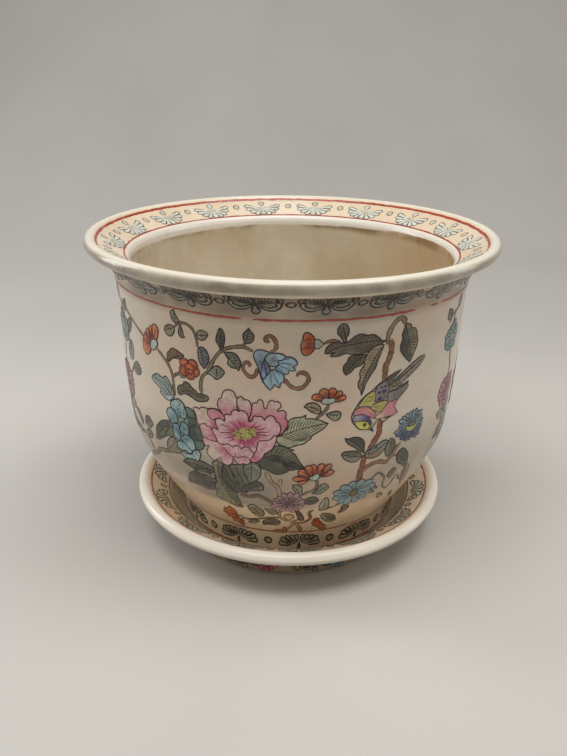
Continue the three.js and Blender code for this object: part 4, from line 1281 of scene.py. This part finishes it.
def peony(brush):
    centre = np.array(PEONY_CENTRE, float)
    deep, rose, pale, cream = (204, 88, 128), (212, 116, 146), (234, 188, 196), (230, 208, 196)
    for k, outline in enumerate(PEONY_BACK):
        brush.petal(outline, along((0, 69), (0, 53), (216, 132, 154), cream), ROSE_INK, 0.75, k * 0.3)
    for k, (outline, root) in enumerate(zip(PEONY_OUTER, PEONY_ROOTS)):
        shade = near(root, rose if k else deep, cream if k in (0, 3) else pale, 8)
        edge = shown_edge(outline) if k in (2, 3, 5, 7) else None
        brush.petal(outline, shade, ROSE_INK, 0.75, 1 + k * 0.2, edge)
        rays(brush, outline, centre, 4, 0.4, (204, 120, 142), 2.9, 0.85, 1.1, 0.25)
    brush.petal(PEONY_FOLD, near((-45, 68), (216, 132, 156), (228, 170, 184), 9), ROSE_INK, 0.75, 3)
    brush.petal(PEONY_BOWL, tinted(near(centre, deep, pale, 8, 5), (-44, 73.5), cream, 6), ROSE_INK, 0.8, 3.2)
    for end in PEONY_STREAKS:
        way = np.subtract(end, centre)
        brush.line([centre + way * t for t in (0.4, 0.7, 1)], 0.75, (140, 40, 78), 4.1, step=3.0)
        turn = np.array([way[0] - 0.14 * way[1], way[1] + 0.14 * way[0]])
        brush.line([centre + turn * t for t in (0.45, 0.85)], 0.45, (176, 66, 104), 4.1, step=3.0)
    tilt = np.array([[0.94, -0.34], [0.34, 0.94]])        # the stamens' oval rises to the right
    for ring, count in ((1.0, 17), (0.68, 12), (0.36, 6)):
        spots = [centre + tilt.T @ (8.0 * ring * math.cos(a), 4.2 * ring * math.sin(a))
                 for a in np.arange(count) * 2 * math.pi / count + ring]
        if ring == 1.0:
            brush.fill(spots, near(centre, (186, 180, 104), (172, 150, 96), 8), 4.4)
        for k, spot in enumerate(spots):
            spot = spot + (brush.paint.random.uniform(-0.5, 0.5), brush.paint.random.uniform(-0.4, 0.4))
            brush.ring(spot, (0.66, 0.58), 0, None, 5.6, fill=(212, 202, 124) if k % 3 else (92, 80, 40))


def turquoise_flower(brush):
    brush.petal(TURQUOISE_SHADOW, near((-67, 84), (58, 72, 62), (112, 128, 112), 14), TEAL_INK, 0.8, 0)
    brush.fill("-84,72 -76,66 -71,72 -70,88 -66,99 -70,107 -79,104 -83,94 -86,82", (128, 158, 152), 0.5)
    shade = near((-77, 84), (120, 160, 170), (172, 200, 204), 13, 5)
    for k, outline in enumerate(TURQUOISE_PETALS):
        brush.petal(outline, shade, TEAL_INK, 0.9, 1 + k * 0.25)
    for stroke in TURQUOISE_STROKES:
        brush.line(stroke, 0.75, TEAL_INK, 3.2)
    for outline in TURQUOISE_PETALS:
        rays(brush, outline, (-76, 86), 6, 0.5, (70, 102, 104), 3.3, 0.7, 1.2, 0.45)


def bell_flower(brush):
    shades = [(150, 168, 186), (150, 160, 190), (164, 184, 196), (146, 178, 196), (150, 184, 200)]
    for k, (outline, tint) in enumerate(zip(BELL_PETALS, shades)):
        shade = near((-14, 28), np.array(tint) * 0.86, np.array(tint) * 1.1, 12)
        brush.petal(outline, shade, (38, 44, 60), 0.8, k * 0.3)
        rays(brush, outline, (-13, 27), 4, 0.55, (82, 96, 130), 2.6, 0.5, 1.5, 0.4)


def orange_flower(brush, petals, base, calyx, calyx_colour=CALYX_BLUE):
    for k, outline in enumerate(petals):
        brush.petal(outline, near(base, DEEP_ORANGE, (222, 136, 88), 7, 3), RUST_INK, 0.75, 1 + k * 0.2)
        tip = read(outline)[0].mean(0)
        for lean in (-0.16, 0.12):
            way = tip - base
            way = way + lean * np.array([-way[1], way[0]])
            brush.line([base + way * 0.5, base + way * 1.25], 0.55, (118, 42, 22), 3.2, step=3.0)
    brush.petal(calyx, calyx_colour, TEAL_INK, 0.7, 3)


def orange_blossoms(brush):
    orange_flower(brush, ORANGE_FAN, (-98, 30), ORANGE_FAN_CALYX)
    brush.petal(ORANGE_BUD_CALYX, GREY_GREEN, TEAL_INK, 0.7, 0.5)
    for k, lobe in enumerate(ORANGE_BUD_LOBES):
        shade = near(lobe, (222, 128, 88), (190, 82, 50), 3.2, 1)
        brush.ring(lobe, (3.9, 3.7), 0.7, RUST_INK, 1.5 + k * 0.25, fill=shade)
    orange_flower(brush, [ROUND_BUD], (14, 15), ROUND_BUD_CALYX)
    brush.line("6.8,13.5 10,11.6 13.8,12", 0.6, (96, 36, 20), 3)
    brush.line("6.6,18.4 10,17.2 14,17.6", 0.6, (96, 36, 20), 3)
    orange_flower(brush, ORANGE_SPRAY, (24.5, 54), ORANGE_SPRAY_CALYX)
    orange_flower(brush, ORANGE_DAISY, (17.5, 111.5), ORANGE_DAISY_CALYX)
    brush.petal(LOW_BUD, near((-44, 168), (196, 92, 50), (212, 128, 70), 12, 3), (92, 34, 18), 0.75, 1)
    for tip in ((-51, 157), (-56, 164), (-54, 174), (-47, 178)):
        brush.line([(-44.5, 168), tip], 0.6, (104, 38, 20), 2, step=3.0)
    brush.ring((-43, 167.5), (2.6, 3.0), 0.8, TEAL_INK, 3, fill=(206, 204, 186))
    brush.petal(RED_BUD, near((27, 166), (186, 92, 54), (206, 124, 76), 14, 2), (92, 34, 18), 0.75, 1)
    for patch in ORANGE_PATCHES:
        brush.petal(patch, (214, 144, 90), (130, 68, 36), 0.7, 1)
    brush.ring((1, 158.5), (4.0, 4.2), 1.1, (140, 94, 58), 1.5, fill=(224, 190, 146))


# The edge of a star flower's petal, and of an oval leaf: (share of its length, share of its half width)
STAR_PETAL_EDGE = [(0.0, 0.0), (0.42, 0.75), (0.74, 1.0), (0.92, 0.6), (1.0, 0.0)]
OVAL_LEAF_EDGE = [(0.0, 0.0), (0.12, 0.5), (0.35, 1.0), (0.6, 0.86), (0.82, 0.42), (1.0, -0.04)]


def star_flower(brush, centre, count, length, width, shade_of, ink, squash=1.0, start_deg=0.0):
    """A flower of narrow pointed petals round a centre."""
    for k in range(count):
        a = math.radians(start_deg) + 2 * math.pi * k / count
        reach = length * (0.86 + 0.28 * brush.paint.random.random())
        ray = np.array([math.cos(a), math.sin(a) * squash])
        side = np.array([-ray[1], ray[0]]) / np.hypot(*ray) * width / 2
        c = np.asarray(centre, float)
        outline = [c + ray * reach * t + side * w for t, w in STAR_PETAL_EDGE]
        outline += [c + ray * reach * t - side * w for t, w in STAR_PETAL_EDGE[-2:0:-1]]
        brush.petal(outline, shade_of(a), ink, 0.6, 1 + (k % 4) * 0.3)
        rib = [c + ray * reach * 0.35, c + ray * reach * 0.85]
        brush.line(rib, 0.4, np.multiply(ink, 1.2), 2.4, step=4.0)


def blue_blossoms(brush):
    def teal_to_violet(a):
        return (148, 182, 188) if math.sin(a) < 0.15 else (116, 116, 154)
    star_flower(brush, (90, 85), 26, 14.2, 3.3, teal_to_violet, (34, 44, 58), 0.84, 8)
    brush.petal("84,84 86,87.5 90,89 95,87 97,83 93,85 88,85", (186, 186, 96), TEAL_INK, 0.5, 3)
    brush.ring((90.5, 83.5), (3.6, 1.7), 0.6, TEAL_INK, 3.6, fill=(110, 128, 110))
    star_flower(brush, (50, 132), 12, 16.4, 6.8, lambda a: (144, 170, 176), (34, 48, 62), 0.8, 14)
    brush.ring((49.5, 132), (3.3, 3.7), 1.0, (50, 46, 28), 3.4, fill=(118, 112, 70))
    for k in range(6):
        a = k * math.pi / 3
        seed = (49.5 + 1.9 * math.cos(a), 132 + 2.1 * math.sin(a))
        brush.ring(seed, (0.5, 0.5), 0, None, 4.4, fill=(74, 68, 36))


def mauve_flower(brush):
    def tint(a):
        return (214, 172, 164) if math.sin(a) > 0.4 else (184, 146, 152)
    star_flower(brush, (0.5, 138.5), 16, 13.6, 4.4, tint, (86, 50, 62), 0.9, 5)
    star_flower(brush, (0.5, 137.5), 9, 7.6, 3.8, lambda a: (172, 130, 138), (78, 44, 56), 0.9, 12)


def bird(brush):
    brush.petal(BIRD_BODY, (216, 198, 174), (62, 46, 44), 0.75, 0)
    for k, (outline, deep, pale) in enumerate(BIRD_FEATHERS):
        points = read(outline)[0]
        ring = smooth(outline, True, 1.0)
        brush.petal(outline, along(points.min(0), points.max(0), deep, pale), (56, 46, 44), 0.65, 1 + k * 0.2)
        middle, spread = points.mean(0), points - points.mean(0)
        way = np.linalg.svd(spread)[2][0]
        way = way if way[0] > 0 else -way
        side = np.array([-way[1], way[0]])
        wide, long = np.abs(spread @ side).max(), np.abs(spread @ way).max()
        for offset in np.arange(-wide + 1.2, wide, 2.0):
            track = middle + side * offset + np.outer(np.arange(-long, long, 0.7), way)
            track = track[inside(track, ring)]
            if len(track) > 3:
                brush.line([track[0], track[len(track) // 2], track[-2]], 0.5, (92, 82, 76), 2.3, step=4.0)
    for k, (outline, colour) in enumerate(BIRD_PATCHES):
        brush.petal(outline, colour, (74, 56, 60), 0.5, 2.4 + k * 0.12)
    for path, width, colour in BIRD_STROKES:
        brush.line(path, width, colour, 3.4)
    for spot, radius in BIRD_SPOTS:
        brush.ring(spot, (radius, radius * 0.8), 0.3, (46, 42, 60), 3.8, fill=(62, 64, 108))
    brush.ring((49.5, 74), (1.3, 1.2), 0.5, (40, 30, 30), 3.8, fill=(96, 70, 40))
    brush.line("62,76.5 64,74.5 68,72.3 75,70.3", 1.2, (70, 56, 54), 0.4)
    brush.petal("61,71.8 66,72.3 63.5,74.3", (222, 210, 194), (80, 62, 56), 0.5, 2)


def brushes(kit, shift=0.0, flip=False, move=(0, 0), scale=1.0):
    """One brush for each family of enamel, for a motif that is moved and scaled before it is placed."""
    place = (shift + (-move[0] if flip else move[0]), move[1])
    return {family: Brush(paint, shift=place, scale=scale, flip=flip) for family, paint in kit.items()}


def front_garden(kit, shift=0.0):
    at = brushes(kit, shift)
    put_stems(at["branch"], FRONT_STEMS)
    put_leaves(at["leaf"], FRONT_LEAVES)
    peony(at["peony"])
    turquoise_flower(at["blue"])
    bell_flower(at["blue"])
    blue_blossoms(at["blue"])
    orange_blossoms(at["orange"])
    mauve_flower(at["mauve"])
    bird(at["bird"])


SIDE_STEMS = [
    ("-4,168 -8,154 -10,142 -12,130 -10,118 -8,106 -6,98", 3.2, BROWN),
    ("-7,146 6,136 20,126 32,112 38,98 36,84 32,70 28,58 22,46", 2.4, BROWN),
    ("-12,130 -22,118 -32,108 -42,104 -48,101 -51,97 -52,90 -53,80", 2.3, BROWN),
    ("34,108 40,104 46,104 54,110", 1.8, OLIVE_BROWN),
    ("-62,20 -60,15 -55,13 -48,11 -44,9", 1.3, OLIVE_BROWN), ("-55,22 -55,16 -52,12.5", 1.3, OLIVE_BROWN),
    ("-54,40 -53,48 -51,54 -52,62", 1.4, OLIVE_BROWN), ("37,84 44,80 50,76 54,70", 1.5, OLIVE_BROWN),
    ("34,66 42,58 50,54", 1.3, OLIVE_BROWN), ("-8,152 -20,156 -32,154 -42,158 -52,156", 2.0, OLIVE_BROWN),
    ("-6,160 6,164 18,160 30,163 42,158", 2.2, TAN),
]
# Leaves of the side: base, heading in degrees from +u towards +v, length, width
SIDE_LEAVES = [
    ((-61, 17), -120, 10, 8), ((-48, 11), -70, 9, 7), ((-24, 116), 185, 24, 13), ((-30, 110), 110, 24, 14),
    ((-18, 122), -70, 20, 12), ((-42, 104), -100, 14, 9), ((-46, 102), 150, 16, 10), ((-52, 92), 200, 12, 8),
    ((-52, 90), -30, 14, 9), ((-11, 126), 20, 18, 11), ((-9, 112), 190, 13, 8), ((-8, 108), 10, 14, 9),
    ((20, 126), -70, 16, 10), ((28, 118), 60, 17, 10), ((38, 96), -20, 15, 9), ((36, 84), 150, 13, 8),
    ((34, 76), 20, 14, 9), ((29, 60), 170, 11, 7), ((44, 104), 70, 13, 9), ((50, 106), -40, 12, 8),
    ((50, 54), -20, 12, 7), ((-20, 156), 100, 13, 8), ((-34, 154), -70, 13, 8), ((-46, 157), 110, 12, 8),
    ((8, 164), -60, 13, 8), ((20, 160), 80, 13, 8), ((32, 162), -40, 13, 8), ((-10, 140), 200, 16, 9),
    ((4, 138), 100, 14, 9),
]


def oval_leaf(base, heading_deg, length, width):
    """The outline of a pointed leaf, and its rib."""
    a = math.radians(heading_deg)
    ahead, side = np.array([math.cos(a), math.sin(a)]), np.array([-math.sin(a), math.cos(a)])
    upper = [base + ahead * length * t + side * width / 2 * w for t, w in OVAL_LEAF_EDGE]
    lower = [base + ahead * length * t - side * width / 2 * w for t, w in OVAL_LEAF_EDGE[-2:0:-1]]
    ends = (0, len(OVAL_LEAF_EDGE) - 1)
    marks = ["*" if i in ends else "" for i in range(len(upper + lower))]
    text = " ".join("%.2f,%.2f%s" % (*point, mark) for point, mark in zip(upper + lower, marks))
    rib = [base + ahead * length * t + side * width * w for t, w in ((0.04, 0), (0.5, 0.08), (0.96, 0))]
    return text, rib


def put_oval_leaves(brush, leaves, scale=1.0):
    pairs = [(GREEN, DARK_GREEN), (LIGHT_GREEN, GREEN), (DARK_GREEN, OLIVE_BROWN), (GREY_GREEN, LIGHT_GREEN)]
    for k, (base, heading, length, width) in enumerate(leaves):
        outline, rib = oval_leaf(np.array(base, float), heading, length * scale, width * scale)
        left, right = pairs[k % len(pairs)]
        brush.leaf(outline, rib, left, right, layer=(k % 3) * 0.34)


def side_garden(kit, shift, flip=False):
    """The side of the pot: a small peony, star-shaped and bell flowers, on one branching stem."""
    at = brushes(kit, shift, flip)
    put_stems(at["branch"], SIDE_STEMS)
    put_oval_leaves(at["leaf"], SIDE_LEAVES)
    peony(brushes(kit, shift, flip, move=(17, 19), scale=0.75)["peony"])
    star_flower(at["peony"], (-52, 72), 19, 12.8, 4.2, lambda a: (220, 150, 168), ROSE_INK, 1.0, 6)
    star_flower(at["peony"], (-52, 72), 11, 7.2, 3.6, lambda a: (204, 112, 140), ROSE_INK, 1.0, 15)
    bell_flower(brushes(kit, shift, flip, move=(28, 4))["blue"])
    for centre, count, size in (((-55, 31), 15, 11.5), ((54, 108), 12, 11.0), ((-2, 142), 12, 11.0)):
        star_flower(at["blue"], centre, count, size, 5.0, lambda a: (132, 168, 170), TEAL_INK, 0.95)
        at["blue"].ring(centre, (3.0, 2.8), 0.6, TEAL_INK, 3.4, fill=(178, 172, 92))
    spray = brushes(kit, shift, flip, move=(30, 18))["orange"]
    orange_flower(spray, ORANGE_SPRAY, (24.5, 54), ORANGE_SPRAY_CALYX)
    daisy = brushes(kit, shift, flip, move=(-2, -62))["orange"]
    orange_flower(daisy, [ROUND_BUD], (14, 15), ROUND_BUD_CALYX)
    low = brushes(kit, shift, flip, move=(-4, -8))["orange"]
    orange_flower(low, [RED_BUD], (27, 166), "22,163 26,160.5 28,164 25,166")
    mauve_flower(brushes(kit, shift, flip, move=(28, 18), scale=0.95)["mauve"])


def paint_garden():
    kit = {
        "branch": Paint(POT_SHEET, 0), "leaf": Paint(POT_SHEET, 1), "peony": Paint(POT_SHEET, 3),
        "blue": Paint(POT_SHEET, 3), "orange": Paint(POT_SHEET, 3), "mauve": Paint(POT_SHEET, 3),
        "bird": Paint(POT_SHEET, 3),
    }
    front_garden(kit)
    front_garden(kit, shift=math.pi * POT_SHEET.ring)
    side_garden(kit, shift=186)
    side_garden(kit, shift=-200, flip=True)
    for family, streak in (("branch", 170), ("leaf", 240), ("peony", 300), ("blue", 260), ("orange", 240),
                           ("mauve", 260), ("bird", 300)):
        kit[family].build(family + "_painting", "jardiniere", enamel(family + "_enamel", streak))


def paint_stand_wall():
    """A running spray of pink and blue flowers on the stand's outer wall, below its lip."""
    paint = Paint(STAND_WALL_SHEET, 0)
    count = 11
    pitch = 2 * math.pi * STAND_WALL_SHEET.ring / count
    for k in range(count):
        brush = Brush(paint, shift=(-16 + pitch * k, 0))
        put_stems(brush, [("8,29 14,26 20,26.5 27,31 34,32.5 41,30 49,28.5", 1.6, OLIVE_BROWN)])
        put_oval_leaves(brush, [((15, 26), -50, 8, 5), ((22, 28), 60, 7, 5), ((30, 31.5), -60, 8, 5),
                                ((36, 32), 30, 6, 4.5), ((-6, 28.5), 170, 8, 5.5)])
        petal, ink = ((210, 120, 150), ROSE_INK) if k % 2 == 0 else ((126, 160, 180), TEAL_INK)
        star_flower(brush, (0, 28.5), 9, 7.6, 5.0, lambda a: petal, ink, 0.9, 12)
        brush.ring((0, 28.5), (2.2, 2.0), 0.6, INK, 3.4, fill=(186, 176, 96))
    paint.build("stand_wall_painting", "stand", enamel("stand_wall_enamel", 250))


# ---- The room, in metres ----

LIT_POINT = Vector((0, 0, 0.15))
WARM_LIGHT, COOL_LIGHT = (1, 0.985, 0.965), (0.97, 0.98, 1.0)
CAMERA_PLACE = (0.0, -0.5343, 0.3501)
CAMERA_TURN = (-23.25, -0.55, 0.65)             # pitch, yaw and roll in degrees
SENSOR_MM, FOCAL_PX, FRAME_PX = 36.0, 720, 756  # the focal length is in pixels of the frame's long side


def make_floor():
    mesh = bpy.data.meshes.new("studio_floor")
    near_edge, far_edge, half, radius, top = -6.0, 1.7, 6.0, 0.9, 2.6
    profile = [(near_edge, 0.0), (-0.8, 0.0), (0.3, 0.0)]
    profile += [(far_edge - radius + radius * math.sin(a), radius - radius * math.cos(a))
                for a in np.linspace(0, math.pi / 2, 24)]
    profile += [(far_edge, top)]
    verts = [(x, y, z) for y, z in profile for x in (-half, half)]
    faces = [(2 * i, 2 * i + 1, 2 * i + 3, 2 * i + 2) for i in range(len(profile) - 1)]
    mesh.from_pydata(verts, [], faces)
    mesh.polygons.foreach_set("use_smooth", [True] * len(faces))
    paper = Surface("studio_paper")
    tint = paper.blend((196, 193, 187), (202, 199, 193), paper.cloud(3, (0.35, 0.65), detail=2))
    paper.feed(paper.shader.inputs["Base Color"], tint)
    paper.feed(paper.shader.inputs["Roughness"], 0.75)
    mesh.materials.append(paper.material)
    floor = bpy.data.objects.new("studio_floor", mesh)
    bpy.context.scene.collection.objects.link(floor)


def make_lamp(name, place, size, power, colour):
    data = bpy.data.lights.new(name, "AREA")
    data.shape = "RECTANGLE"
    data.size, data.size_y = size
    data.energy, data.color = power, colour
    lamp = bpy.data.objects.new(name, data)
    lamp.location = place
    lamp.rotation_euler = (LIT_POINT - Vector(place)).to_track_quat("-Z", "Y").to_euler()
    bpy.context.scene.collection.objects.link(lamp)


def make_lights():
    make_lamp("overhead_softbox", (0.1, -0.32, 1.5), (1.5, 0.8), 18.5, WARM_LIGHT)
    make_lamp("left_window", (-1.4, 0.35, 0.65), (0.5, 1.0), 8, COOL_LIGHT)
    make_lamp("right_window", (1.45, 0.2, 0.6), (0.45, 0.9), 2.6, WARM_LIGHT)
    world = bpy.data.worlds.new("studio_air")
    world.use_nodes = True
    air = world.node_tree.nodes["Background"].inputs
    air["Color"].default_value = (1.0, 0.985, 0.96, 1)
    air["Strength"].default_value = 0.30
    bpy.context.scene.world = world
    bpy.context.scene.view_settings.view_transform = "Standard"


def make_camera():
    """The photograph's view: 23 degrees down on the front, from a little over half a metre."""
    pitch, yaw, roll = (math.radians(a) for a in CAMERA_TURN)
    ahead = Vector((math.sin(yaw) * math.cos(pitch), math.cos(yaw) * math.cos(pitch), math.sin(pitch)))
    right = Vector((math.cos(yaw), -math.sin(yaw), 0))
    up = right.cross(ahead)
    right, up = (right * math.cos(roll) + up * math.sin(roll), up * math.cos(roll) - right * math.sin(roll))
    data = bpy.data.cameras.new("photo_view")
    data.sensor_width = SENSOR_MM
    data.lens = SENSOR_MM * FOCAL_PX / FRAME_PX
    data.clip_start = 0.02
    camera = bpy.data.objects.new("photo_view", data)
    turn = Matrix((right, up, -ahead)).transposed().to_4x4()
    camera.matrix_world = Matrix.Translation(CAMERA_PLACE) @ turn
    bpy.context.scene.collection.objects.link(camera)
    bpy.context.scene.camera = camera


make_camera()
make_floor()
make_lights()
make_shells()
paint_borders()
paint_garden()
paint_stand_wall()
